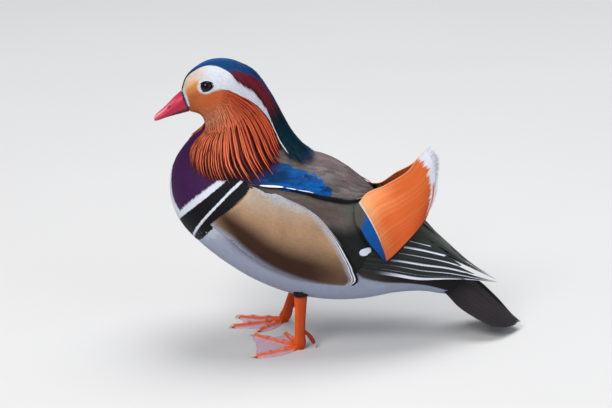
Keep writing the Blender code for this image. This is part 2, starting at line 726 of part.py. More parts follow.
def main():
    clear_scene()
    group = new_collection("mandarin_duck")
    cutters = new_collection("cutters")
    finish = {
        "head": new_material("head", (0.62, 0.42, 0.26), 0.8),
        "neck": new_material("neck", (0.35, 0.09, 0.04), 0.8),
        "breast": new_material("breast", (0.10, 0.03, 0.09), 0.7),
        "trunk": new_material("belly", (0.72, 0.72, 0.74), 0.85),
        "rump": new_material("rump", (0.20, 0.17, 0.16), 0.8),
    }
    body = make_body(group, cutters, finish)
    make_crest(group, new_material("crest", (0.02, 0.12, 0.16), 0.45, 0.3))
    make_ruffs(group, new_material("ruff", (0.60, 0.13, 0.03), 0.7))
    make_scapulars(group, new_material("scapulars", (0.16, 0.12, 0.10), 0.7))
    make_wings(group, new_material("wing", (0.13, 0.12, 0.10), 0.7))
    make_flanks(group, new_material("flank", (0.42, 0.25, 0.12), 0.8))
    make_wing_tips(group, new_material("quills", (0.20, 0.21, 0.22), 0.6))
    make_sails(group, new_material("sail", (0.80, 0.24, 0.05), 0.6))
    make_tail(group, new_material("tail", (0.10, 0.08, 0.08), 0.7))
    make_bill(group, new_material("bill", (0.70, 0.04, 0.07), 0.35))
    make_eyes(body["head"], group, cutters, new_material("eye", (0.02, 0.012, 0.008), 0.05))
    skin = new_material("leg", (0.78, 0.15, 0.02), 0.5)
    make_legs(make_clearance(cutters, skin), group, skin)
    make_feet(group, skin)
    horn_finish = new_material("claw", (0.45, 0.36, 0.32), 0.4)
    make_claws(group, horn_finish)
    make_hind_toes(group, skin, horn_finish)
    centre_on_origin(group)


main()
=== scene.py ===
"""Looks of a drake mandarin duck: skin, feathers, bill, eyes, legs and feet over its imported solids.

The plumage lies on one lofted form. A place on it is (station, degrees): the station runs from the bill
to the rump, 0 degrees is the middle of the back, 90 the left side and 180 the middle of the belly.
Sizes are in millimetres and in the solids' own stance, with the ankles over x = 0; to_frame() turns
them into the frame's metres.
"""

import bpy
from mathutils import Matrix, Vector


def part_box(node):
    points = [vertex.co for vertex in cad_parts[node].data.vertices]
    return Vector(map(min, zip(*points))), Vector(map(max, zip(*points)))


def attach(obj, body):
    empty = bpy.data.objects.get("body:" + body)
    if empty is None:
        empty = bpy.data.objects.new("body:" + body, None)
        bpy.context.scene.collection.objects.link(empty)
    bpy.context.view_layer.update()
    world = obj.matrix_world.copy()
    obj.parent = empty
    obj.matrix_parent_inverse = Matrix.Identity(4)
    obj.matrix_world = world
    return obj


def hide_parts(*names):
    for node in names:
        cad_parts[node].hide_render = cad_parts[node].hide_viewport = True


bl_info = {
    "name": "Mandarin Drake",
    "version": (1, 0, 0),
    "blender": (4, 5, 0),
    "location": "3D View > Sidebar > Drake",
    "description": "Builds a drake's skin, feathers, bill, eyes and feet over its solids",
    "category": "Add Mesh",
}

import math
from types import SimpleNamespace

import bmesh
import bpy
import numpy as np
from mathutils import Matrix

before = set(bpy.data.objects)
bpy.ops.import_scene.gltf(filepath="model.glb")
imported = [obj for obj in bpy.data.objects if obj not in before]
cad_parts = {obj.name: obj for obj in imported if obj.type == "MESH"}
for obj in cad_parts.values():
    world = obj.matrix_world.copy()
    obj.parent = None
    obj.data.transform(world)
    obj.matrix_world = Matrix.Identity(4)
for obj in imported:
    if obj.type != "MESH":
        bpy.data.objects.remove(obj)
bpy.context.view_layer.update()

TAIL_TIP = 197.3  # its x in the stance
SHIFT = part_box("tail")[1][0] - TAIL_TIP / 1000
SIDES = {"left": 1.0, "right": -1.0}

# Form of the plumage: back x, back z, belly x, belly z, half width,
# level of the greatest width from belly to back, fullness of the section's corners.
STATIONS = (
    (-93, 223, -86, 205, 8.5, 0.45, 2),
    (-89, 234, -81, 204, 13, 0.50, 2),
    (-81.5, 241.5, -77.5, 202.5, 17, 0.52, 2),
    (-70.5, 247.5, -75, 199.5, 19.5, 0.52, 2),
    (-58, 249, -73.5, 195, 20.5, 0.50, 2),
    (-45.5, 246, -73, 190.5, 20.5, 0.48, 2),
    (-31.5, 237, -74.2, 187, 20.5, 0.45, 2),
    (-20.5, 219, -78.6, 182.8, 21.5, 0.42, 2),
    (-15.5, 207.5, -85.5, 178, 24, 0.42, 2),
    (-10.5, 195.5, -92, 171, 28, 0.42, 2),
    (-4, 182, -98.5, 160.5, 34, 0.42, 2),
    (4.5, 169.5, -102.5, 147, 41, 0.44, 2.1),
    (13, 161, -102.5, 129, 48, 0.46, 2.2),
    (21, 156.5, -95.5, 111, 53, 0.48, 2.3),
    (30.5, 153, -81, 94, 56, 0.50, 2.3),
    (41.5, 147, -61, 76.5, 57, 0.50, 2.3),
    (54, 138.5, -36, 59.5, 56, 0.50, 2.3),
    (68, 127.5, -8, 46.5, 52, 0.50, 2.3),
    (81.5, 113.5, 24, 38.5, 46, 0.50, 2.2),
    (95.5, 98, 55, 37, 38, 0.50, 2.1),
    (109, 83, 84, 40.5, 29, 0.50, 2),
    (124, 69, 108, 40.5, 20, 0.50, 2),
    (140, 55.5, 128, 36.5, 12, 0.50, 2),
)
LAST_STATION = len(STATIONS) - 1
EDGE_POINTS = 120  # of a smoothed outline

# Outlines of the groups of feathers, as (station, degrees) on the left side.
CREST_SIDE = (
    (4.5, 33), (5, 42), (5.6, 46.5), (6.5, 44.5), (7.2, 38.5),
    (7.8, 34), (8.5, 30.5), (9.2, 29), (10, 30.5), (10.9, 34),
)
CREST_START = ((4.5, 33), (4.2, 16), (4.15, 0), (4.2, -16), (4.5, -33))
CREST_END = ((10.9, 34), (11.65, 20), (12, 0), (11.65, -20), (10.9, -34))
CHEEK = ((1.7, 128), (2.8, 118), (3.4, 107), (3.8, 96), (3.84, 86), (3.9, 78))
RUFF_THROAT = (
    (1.7, 128), (3, 142.5), (4.4, 151), (6.2, 163), (7.7, 156), (8.6, 150), (9.4, 141), (10, 134),
)
RUFF_NAPE = (
    (3.9, 78), (4.75, 68), (5.85, 62.8), (6.65, 50), (7.5, 41.5), (8.3, 37), (9.1, 34), (10.2, 36),
)
RUFF_HEM = (
    (10, 134), (10.54, 120), (10.9, 109), (11.3, 88), (11.35, 76), (11.1, 62), (10.8, 48), (10.2, 36),
)
BROW_TOP = (
    (4.1, 36), (4.7, 42.5), (5.45, 49), (5.95, 46.5), (6.4, 40), (6.9, 36.5), (7.6, 34), (8.6, 33.2),
)
BROW_LOW = (
    (4.1, 73.5), (4.75, 68.5), (5.3, 66), (5.85, 63), (6.3, 57), (6.65, 50.5), (7, 46), (7.6, 41),
    (8.2, 37), (8.6, 34.8),
)
SCAPULAR_START = (
    (12.25, 1), (12.1, 18), (11.9, 28), (11.4, 37), (11.25, 48), (11.35, 58), (11.6, 77),
)
SCAPULAR_MIDDLE = ((12.25, 1), (13.5, 0.9), (15.2, 0.9), (17, 1))
SCAPULAR_HEM = (
    (11.6, 77), (12.2, 64.5), (12.8, 57.7), (13.6, 52.8), (14.4, 49),
    (15.1, 44), (15.8, 38), (16.3, 27), (16.9, 5),
)
SCAPULAR_END = ((17, 1), (16.9, 5))
FLANK_FRONT = ((11.6, 78.5), (12.1, 92), (12.4, 105), (12.9, 124))
FLANK_TOP = ((11.6, 78.5), (12.2, 74), (12.65, 71.8), (13.15, 66.8), (13.6, 65.4))
FLANK_LOW = ((12.9, 124), (13.74, 119.5), (15.5, 120), (17.1, 115), (18.2, 109))
FLANK_REAR = (
    (13.6, 65.4), (14.6, 64.2), (15.3, 65.5), (16, 69.5), (16.6, 74.5), (17.2, 81.5),
    (17.8, 90.2), (18.15, 99), (18.2, 109),
)
FLANK_FEATHER = 11.0  # its length in millimetres
WING_TOP = (
    (12, 66), (12.8, 56.5), (13.6, 51), (14.4, 47), (15.1, 42), (15.8, 36), (16.4, 28), (17.1, 14),
)
WING_FRONT = ((12, 66), (12.1, 70), (12.4, 74))
WING_LOW = (
    (12.4, 74), (13.15, 68.5), (14.6, 66), (15.3, 67.5), (16, 71.5), (16.6, 76.5), (17.2, 83), (17.8, 90),
)
WING_REAR = ((17.1, 14), (17.5, 38), (17.75, 62), (17.8, 90))

# White slivers above the shoulder's black border: where each starts along it, and its length.
WHITE_SLIVERS = ((0.03, 0.14), (0.19, 0.1), (0.3, 0.13), (0.36, 0.1), (0.84, 0.12))

# The white brush beside the wing's blue band: its root, length and width, in (station, degrees).
WHITE_SPOT = ((17.42, 77.5), (0.06, -10.5), (0.4, -1.5))

# The wing tip's front edge as (station, degrees, height over the form), and its other edges as places.
TIP_FRONT = ((17.2, 1.2, 5), (17.22, 18, 4.4), (17.5, 40, 3.9), (17.82, 65, 3.8), (18, 88, 4))
TIP_RIDGE = ((96, -0.8, 110.5), (113, -0.8, 97.5), (130, -0.8, 80), (152, -0.8, 59.5), (175, -0.8, 45.5))
TIP_LOW = ((82, -45, 71), (104, -39.5, 65), (128, -29, 60), (152, -16, 52.5), (175, -3, 44.5))

# The wing tip's feathers, root at QUILL_ROOT in t: outer edge's root in w, its tip in t and w, half width
# in w, silver (1) or plain (0).
QUILL_ROOT = -0.02
QUILLS = (
    (0.06, 0.52, 0.03, 0.12, 0), (0.16, 0.62, 0.06, 0.12, 0), (0.27, 0.8, 0.10, 0.12, 0),
    (0.40, 0.94, 0.22, 0.12, 0), (0.52, 0.34, 0.42, 0.12, 0), (0.68, 0.42, 0.465, 0.13, 1),
    (0.78, 0.563, 0.475, 0.13, 1), (0.855, 0.688, 0.556, 0.12, 1), (0.915, 0.804, 0.667, 0.11, 1),
    (0.965, 1, 0.80, 0.10, 1), (1, 1.01, 0.95, 0.085, 1), (1.02, 0.74, 1, 0.075, 1),
)

# The sail: its shaft as (station, degrees, height over the form), and its other edges as places.
SHAFT = (
    (16.2, 35.5, 6.3), (16.84, 43.8, 6.7), (17.34, 50.5, 7.3), (17.76, 56.8, 7.9), (18.14, 64, 8.7),
    (18.48, 72.2, 9.7),
)
BAND_LOW = ((16.15, 40), (16.45, 51), (16.85, 57.6), (17.4, 64.3), (18.04, 69.2), (18.45, 72.5))
SAIL_TOP = (
    (59.5, -24, 136), (67, -16, 136.8), (76.5, -11.5, 138.8), (95.5, -10, 150), (104, -7.5, 160.3),
    (113.2, -2.5, 167.5),
)
SAIL_FRINGE = ((120.3, -5, 157.5), (121.9, -8.5, 140.5), (119.7, -13, 127.5), (111.8, -19, 111.7))
SAIL_LOW = ((82, -46.5, 87.5), (92, -42, 96), (102.3, -32, 104))
SAIL_GRID = (150, 60)
SAIL_RIBS = 75
SAIL_BARBS = 230
SAIL_HAIRS = 380
SAIL_SPLIT = 0.78  # where two barbs part
FAR_FRINGE = 0.6  # its length beside the near one's
FAR_SAIL_LEAN = 6.0
FAR_SAIL_PIVOT = (95, -20, 125)
FAR_SAIL_SHIFT = (1.5, -0.8, -1.6)
FAR_SAIL_DROP = 8.0  # of its front upper corner
FAR_SAIL_OUT = 2.4  # of its front edge

BILL = (
    (-93.4, 222.4, -86.6, 205, 8.3),
    (-99, 217.4, -93.6, 203.3, 7.8),
    (-104.2, 211.8, -100.2, 201.8, 7.2),
    (-109.2, 206.8, -106.4, 200.2, 6.6),
    (-113, 203.7, -111.8, 198.2, 5.7),
    (-115.2, 201.4, -114.6, 196.9, 4.4),
    (-116.2, 199.2, -115.8, 196.7, 1.6),
)
GAPE = 0.26
LOWER_BILL_REACH = 0.74
MOUTH_GAP = 0.35

EYE_AT = (2.85, 71.5)
EYE_ACROSS = 5.2
EYE_DEEP = 4.0
EYE_SUNK = 1.9
EYE_TILT = 0.2
PUPIL = 0.5  # radians from the ball's front
LID_LONG = 5.3
LID_HIGH = 3.9
LID_ROLL = 0.35
LID_SKIRT = 2.2  # width of the feathered skin round the rim
LID_SUNK = 1.9  # its outer edge under the form

TAIL_RIDGE = (
    (143.2, 0, 55), (151, 0, 50), (161, 0, 42.5), (170, 0, 34), (179, 0, 25), (189, 0, 14), (197.3, 0, 6),
)
TAIL_EDGE = (
    (131.4, -13.5, 39), (141, -19, 30.5), (155, -23.5, 22), (169, -24, 14.5), (180, -19.5, 10.5),
    (190, -10.5, 7.5), (196.6, -2.5, 5.5),
)
TAIL_BULGE = 3.0

ANKLES = {"left": (3.5, -31), "right": (-6.5, 31)}
TARSUS = (
    (5, 5, 4), (12, 4.7, 3.1), (26, 4.8, 3), (38, 5.3, 3.5), (49, 6, 4.5), (60, 6.6, 5.4),
)
SHANK_TOP = 58.0
SCUTE = 2.6  # height of the scales in front of the shank
TARSUS_LEAN = {"left": 0.02, "right": 0.34}
TOES = {
    "left": ((72, 34), (38, 48), (-24, 43)),
    "right": ((-45, 33), (-15, 47), (14, 40)),
}
TOE_RADIUS = 3.0
TOE_TAPER = 0.22
HEEL_RADIUS = 3.4
HEEL_DOME = 3.6
WEB_DIP = 0.80
WEB_THICK = 0.75
FOOT_MAP = (230, 120)  # millimetres that the map's width and height stand for
CLAW_LONG = 3.4
CLAW_ROOT = 1.4  # hidden in the toe
CLAW_RADIUS = 1.3
HALLUX_ROOT = (3.2, 15.6, 2)
HALLUX = ((6.3, 13.4, 1.5), (8.4, 11, 1.9), (10.5, 7.8, 1.8), (11.9, 4.9, 1.4))
HALLUX_CLAW = ((12.15, 4.3, 1.1), (13, 2.4, 0.8), (13.3, 0.7, 0.3))

THIGH_TOP = 57.0
THIGH_LOW = 48.0
THIGH_RADII = (5.6, 4.5)

BARE_DEPTH = 0.25  # of the skin under the form, at the bill
COAT_DEPTH = 1.2  # added to it under the coat
UNEVEN = 0.12  # range of the vanes' heights
WELD = 2e-6  # metres

# Outlines of a vane: share of its length, share of its half width.
ROUND_TIP = ((0, 0.5), (0.3, 0.88), (0.62, 1), (0.86, 0.74), (1, 0.12))
FINE_TIP = ((0, 0.6), (0.4, 1), (0.75, 0.72), (1, 0.06))
SILKY_TIP = ((0, 0.6), (0.3, 0.95), (0.6, 1), (0.85, 0.62), (1, 0.08))
BROAD_TIP = (
    (0, 0.4), (0.15, 0.72), (0.35, 0.94), (0.6, 1), (0.78, 0.94), (0.9, 0.7), (0.97, 0.4), (1, 0.08),
)
HACKLE_TIP = (
    (0, 0.62), (0.25, 0.72), (0.5, 0.92), (0.66, 1), (0.8, 0.9), (0.89, 0.64), (0.95, 0.34), (1, 0.03),
)
QUILL_TIP = (
    (0, 0.8), (0.2, 0.95), (0.5, 1), (0.75, 0.92), (0.88, 0.7), (0.95, 0.45), (0.985, 0.2), (1, 0.03),
)
TAIL_FEATHER_TIP = ((0, 0.75), (0.3, 0.95), (0.6, 1), (0.85, 0.88), (0.95, 0.6), (1, 0.1))
LANCE = (
    (0, 0.45), (0.1, 0.7), (0.25, 0.9), (0.4, 1), (0.55, 1), (0.7, 0.95), (0.8, 0.84), (0.88, 0.66),
    (0.95, 0.36), (1, 0.03),
)


def linear(red, green, blue):
    """A colour from 0 to 255 as a screen shows it, in the renderer's linear values."""
    value = np.array((red, green, blue), float) / 255
    return tuple(np.where(value <= 0.04045, value / 12.92, ((value + 0.055) / 1.055) ** 2.4))


def colour_prop(name, description, *screen):
    return bpy.props.FloatVectorProperty(
        name=name, description=description, subtype="COLOR", min=0, max=1, default=linear(*screen)
    )


def step_prop(name, where, default, least, most):
    return bpy.props.FloatProperty(
        name=name, description=f"Step from row to row {where}, in millimetres",
        default=default, min=least, max=most,
    )


class DrakeColours(bpy.types.PropertyGroup):
    """The plumage's and the bare parts' colours."""

    crown: colour_prop("Crown", "Blue of forehead and crown", 5, 60, 112)
    # crown_highlight is a painted highlight: violet blue where light falls on top of the crown.
    crown_highlight: colour_prop("Crown gloss", "Violet blue on top of the crown", 26, 98, 168)
    maroon: colour_prop("Maroon", "Band on each side of the crest", 104, 26, 42)
    nape: colour_prop("Nape", "Green of the crest's end", 0, 46, 60)
    white: colour_prop("White", "Brow, bars, belly and fringes", 216, 221, 232)
    # belly: the belly's white, greyed and blued as painted shade.
    belly: colour_prop("Belly", "Lavender white below", 164, 171, 194)
    cream: colour_prop("Cream", "Feathers between bill and eye", 236, 200, 158)
    buff: colour_prop("Buff", "Lores", 224, 142, 76)
    rufous: colour_prop("Rufous", "Cheek", 192, 96, 52)
    hackle: colour_prop("Hackle", "Hackles of the ruff", 212, 78, 36)
    # hackle_edge is painted shadow between and under the hackles and under the ruff's hem; it also darkens
    # the hackles' mauve near the throat.
    hackle_edge: colour_prop("Hackle edge", "Shadowy edges of the hackles", 64, 14, 16)
    hackle_shaft: colour_prop("Hackle shaft", "Pale shafts near the cheek", 252, 186, 142)
    breast: colour_prop("Breast", "Purple of the breast", 60, 24, 72)
    black: colour_prop("Black", "Bars and borders", 12, 12, 18)
    flank: colour_prop("Flank", "Golden buff of the side", 168, 134, 104)
    flank_pale: colour_prop("Pale flank", "Upper front of the side", 174, 154, 136)
    flank_low: colour_prop("Low flank", "Chestnut brown of the side's lower edge", 58, 36, 26)
    back: colour_prop("Back", "Olive brown of back and shoulders", 98, 90, 89)
    wing: colour_prop("Wing", "Grey brown of the closed wing", 86, 75, 72)
    green: colour_prop("Green sheen", "Dull green on wing and shoulders", 58, 74, 62)
    azure: colour_prop("Azure", "Blue of the shoulder patch and wing band", 0, 76, 146)
    quill: colour_prop("Quill", "Dark flight feathers", 34, 38, 36)
    silver: colour_prop("Silver", "Outer edges of the flight feathers", 216, 222, 236)
    sail: colour_prop("Sail", "Orange vane", 210, 98, 42)
    # sail_pale also lays the painted highlight near the shaft's foot.
    sail_pale: colour_prop("Pale sail", "Pale streaks of the vane", 240, 166, 112)
    tail: colour_prop("Tail", "Dark brown tail", 44, 38, 40)
    bill: colour_prop("Bill", "Crimson of the bill", 200, 22, 70)
    # bill_pale is a painted highlight along the bill's ridge, and the bill's own pale pink towards the tip.
    bill_pale: colour_prop("Pale bill", "Painted highlight on the bill's ridge, and pale pink towards the tip", 250, 168, 178)
    # nail also lays the painted highlight on the toes' tops.
    nail: colour_prop("Nail", "Bill's tip and the claws", 216, 176, 164)
    iris: colour_prop("Iris", "Eye round the pupil", 26, 13, 10)
    leg: colour_prop("Leg", "Shanks and toes", 226, 86, 10)
    # leg_dark is painted shade on the shanks' rear, sides and top, and the toes' own dark joints.
    leg_dark: colour_prop("Dark leg", "Rear of the shanks and joints of the toes", 140, 44, 22)
    web: colour_prop("Web", "Skin between the toes", 196, 168, 184)


class DrakeSizes(bpy.types.PropertyGroup):
    """Sizes of the feathers and of the stage."""

    face_feather: step_prop("Face feather", "at the bill", 0.85, 0.5, 3)
    breast_feather: step_prop("Breast feather", "on the breast", 1.7, 1, 6)
    belly_feather: step_prop("Belly feather", "on the belly", 2.5, 1.5, 8)
    hackles: bpy.props.IntProperty(
        name="Hackles", description="Hackles side by side in each layer of a ruff",
        default=40, min=20, max=80,
    )
    floor: bpy.props.FloatProperty(
        name="Floor", description="Side of the floor", default=12.0, min=2, unit="LENGTH",
    )


def palette():
    """The scene's colours as arrays."""
    group = bpy.context.scene.drake_colours
    return SimpleNamespace(**{name: np.array(getattr(group, name)) for name in DrakeColours.__annotations__})


# Surfaces


def stacked(*values):
    """Arrays of values as one array of points."""
    return np.stack(np.broadcast_arrays(*values), -1)


def smooth_rows(rows, at):
    """Rows of numbers read at a fractional row, along a smooth curve through them."""
    rows = np.asarray(rows, float)
    at = np.clip(np.asarray(at, float), 0, len(rows) - 1)
    low = np.clip(np.floor(at).astype(int), 0, len(rows) - 2)
    slope = np.gradient(rows, axis=0)
    f = (at - low)[..., None]
    return (
        rows[low] * (2 * f**3 - 3 * f**2 + 1)
        + rows[low + 1] * (3 * f**2 - 2 * f**3)
        + slope[low] * (f**3 - 2 * f**2 + f)
        + slope[low + 1] * (f**3 - f**2)
    )


def curve(points, count, column=None):
    """Points on the smooth curve through a few, evenly by distance or by one of their columns."""
    fine = smooth_rows(points, np.linspace(0, len(points) - 1, 300))
    if column is None:
        along = np.concatenate([[0], np.cumsum(np.linalg.norm(np.diff(fine, axis=0), axis=1))])
    else:
        along = np.abs(fine[:, column] - fine[0, column])
    want = np.linspace(0, along[-1], count)
    return np.stack([np.interp(want, along, fine[:, k]) for k in range(fine.shape[1])], -1)


def read(samples, at):
    """Evenly spaced samples read at shares of their length, straight on past either end."""
    at = np.asarray(at, float) * (len(samples) - 1)
    low = np.clip(np.floor(at).astype(int), 0, len(samples) - 2)
    f = (at - low)[..., None]
    return samples[low] * (1 - f) + samples[low + 1] * f


def unit(value):
    return np.clip(value, 0, 1)


def smooth(value, low, high):
    """0 below low, 1 above high, and a smooth rise between."""
    share = unit((value - low) / (high - low))
    return share * share * (3 - 2 * share)


def form(station, degrees):
    """Places on the plumage's form: a superellipse in each flat section."""
    back_x, back_z, belly_x, belly_z, half, level, full = np.moveaxis(smooth_rows(STATIONS, station), -1, 0)
    angle = np.radians(degrees)
    rise = np.sign(np.cos(angle)) * np.abs(np.cos(angle)) ** (2 / full)
    side = np.sign(np.sin(angle)) * np.abs(np.sin(angle)) ** (2 / full)
    widest_x = belly_x + level * (back_x - belly_x)
    widest_z = belly_z + level * (back_z - belly_z)
    up, down = np.maximum(rise, 0), np.maximum(-rise, 0)
    x = widest_x + (back_x - widest_x) * up + (belly_x - widest_x) * down
    z = widest_z + (back_z - widest_z) * up + (belly_z - widest_z) * down
    return stacked(x, -half * side, z)


class Surface:
    """Points and unit normals on an even grid of two parameters, blended linearly between."""

    def __init__(self, grid, first, last, outside=1.0):
        normal = np.cross(np.gradient(grid, axis=1), np.gradient(grid, axis=0)) * outside
        self.grid = grid
        self.normal = normal / np.maximum(np.linalg.norm(normal, axis=-1, keepdims=True), 1e-9)
        self.first = np.asarray(first, float)
        self.step = (np.asarray(last, float) - self.first) / (np.array(grid.shape[:2]) - 1)

    def at(self, x, y):
        return stacked(x, y)

    def place(self, x, y, height=0.0):
        x, y, height = np.broadcast_arrays(x, y, height)
        i = (x - self.first[0]) / self.step[0]
        j = (y - self.first[1]) / self.step[1]
        a = np.clip(np.floor(i).astype(int), 0, self.grid.shape[0] - 2)
        b = np.clip(np.floor(j).astype(int), 0, self.grid.shape[1] - 2)
        f, g = (i - a)[..., None], (j - b)[..., None]

        def blend(table):
            near = table[a, b] * (1 - g) + table[a, b + 1] * g
            far = table[a + 1, b] * (1 - g) + table[a + 1, b + 1] * g
            return near * (1 - f) + far * f

        return blend(self.grid) + blend(self.normal) * height[..., None]


class Form(Surface):
    """The plumage's form over (station, degrees), with degrees taken round the full turn."""

    def __init__(self):
        stations = np.linspace(0, LAST_STATION, 1101)
        degrees = np.linspace(-180, 180, 721)
        super().__init__(form(*np.meshgrid(stations, degrees, indexing="ij")), (0, -180), (LAST_STATION, 180))

    def place(self, x, y, height=0.0):
        return super().place(x, (np.asarray(y) + 180) % 360 - 180, height)


FORM = Form()


def coons(first, last, start, end, t, w):
    """The blend of four edges: first and last run with t, start and end with w."""
    a, b, c, d = read(first, t), read(last, t), read(start, w), read(end, w)
    t, w = t[..., None], w[..., None]
    corners = (1 - t) * ((1 - w) * first[0] + w * last[0]) + t * ((1 - w) * first[-1] + w * last[-1])
    return (1 - w) * a + w * b + (1 - t) * c + t * d - corners


class Patch:
    """A part of the form between four outlines: t runs from start to end, w from first to last."""

    def __init__(self, first, last, start, end, crossways=1):
        self.edges = [curve(side, EDGE_POINTS, 0) for side in (first, last)]
        self.edges += [curve(start, EDGE_POINTS, 1), curve(end, EDGE_POINTS, crossways)]

    def at(self, t, w):
        return coons(*self.edges, *np.broadcast_arrays(t, w))

    def place(self, t, w, height=0.0):
        places = self.at(t, w)
        return FORM.place(places[..., 0], places[..., 1], height)


class Slant(Patch):
    """A small leaning patch of the form: a first place, and the steps from it to t = 1 and to w = 1."""

    def __init__(self, first, along, across):
        self.first, self.along, self.across = (np.array(v, float) for v in (first, along, across))

    def at(self, t, w):
        t, w = np.broadcast_arrays(t, w)
        return self.first + t[..., None] * self.along + w[..., None] * self.across


def sheet(first, last, start, end):
    """A surface in space between four curves of places."""
    t, w = np.meshgrid(np.linspace(0, 1, EDGE_POINTS), np.linspace(0, 1, 80), indexing="ij")
    edges = [curve(side, EDGE_POINTS) for side in (first, last, start, end)]
    return Surface(coons(*edges, t, w), (0, 0), (1, 1))


def span(ground, t, w):
    """Millimetres for a step of one in t."""
    step = 0.01
    return np.linalg.norm(ground.place(t + step, w) - ground.place(t, w), axis=-1) / step


# Meshes


def to_frame(points):
    return points / 1000 + np.array([SHIFT, 0, 0])


def grid_faces(rows, columns, count=1, start=0):
    """Corner numbers of the quads of a number of grids, one after another."""
    r, c = np.meshgrid(np.arange(rows - 1), np.arange(columns - 1), indexing="ij")
    a = (r * columns + c).ravel()
    quad = stacked(a, a + 1, a + columns + 1, a + columns)
    return (quad[None] + (np.arange(count) * rows * columns)[:, None, None]).reshape(-1, 4) + start


def new_piece(name, points, faces, tint, maps, finish, side=1.0):
    """A shaded mesh object from arrays: points, quads, a colour and UV maps for each point."""
    points = points.reshape(-1, 3) * np.array([1, side, 1])
    faces = faces if side > 0 else faces[:, ::-1]
    mesh = bpy.data.meshes.new(name)
    mesh.vertices.add(len(points))
    mesh.vertices.foreach_set("co", to_frame(points).ravel())
    corners = np.ascontiguousarray(faces).ravel()
    mesh.loops.add(len(corners))
    mesh.loops.foreach_set("vertex_index", corners)
    mesh.polygons.add(len(faces))
    mesh.polygons.foreach_set("loop_start", np.arange(len(faces)) * 4)
    mesh.update(calc_edges=True)
    mesh.shade_smooth()
    colours = np.concatenate([tint.reshape(-1, 3), np.ones((len(points), 1))], 1)
    mesh.color_attributes.new("tint", "FLOAT_COLOR", "POINT").data.foreach_set("color", colours.ravel())
    for key, values in maps.items():
        layer = mesh.uv_layers.new(name=key)
        layer.uv.foreach_set("vector", values.reshape(-1, 2)[corners].astype(np.float32).ravel())
    mesh.materials.append(finish)
    made = bpy.data.objects.new(name, mesh)
    bpy.context.scene.collection.objects.link(made)
    return made


def weld(made):
    """Merges the points that close a seam or a pole, and turns the faces outward."""
    shape = bmesh.new()
    shape.from_mesh(made.data)
    bmesh.ops.remove_doubles(shape, verts=shape.verts, dist=WELD)
    bmesh.ops.recalc_face_normals(shape, faces=shape.faces)
    shape.to_mesh(made.data)
    shape.free()


def closed(rings):
    """Rings of points with one more at each end, drawn together in the middle."""
    first, last = (ring.mean(axis=1, keepdims=True) + 0 * ring for ring in (rings[:1], rings[-1:]))
    return np.concatenate([first, rings, last])


def even_map(rows, columns, last=0.99):
    """A grid's map, spread evenly with a small margin, its columns up to the last share."""
    return np.stack(np.meshgrid(np.linspace(0.01, last, columns), np.linspace(0.01, 0.99, rows)), -1)


def coat_map(station, degrees):
    """The spot on the coat's map for a place on the form."""
    return stacked(0.5 + 0.49 * degrees / 180, 0.01 + 0.98 * station / LAST_STATION)


def aimed(first, second, turn):
    """Directions turned from one towards another."""
    return first * np.cos(turn)[..., None] + second * np.sin(turn)[..., None]


def hand_over(made, slot, *nodes):
    """Puts a piece on the body, in place of the nodes. The slot is not used."""
    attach(made, "root")
    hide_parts(*nodes)
    return made


def shell(name, points, tint, finish, slot, *nodes, bake=None, side=1.0):
    """A piece of one grid of points that closes on itself."""
    maps = {"OFBake": even_map(*points.shape[:2]) if bake is None else bake}
    made = new_piece(name, points, grid_faces(*points.shape[:2]), tint, maps, finish, side)
    weld(made)
    return hand_over(made, slot, *nodes)


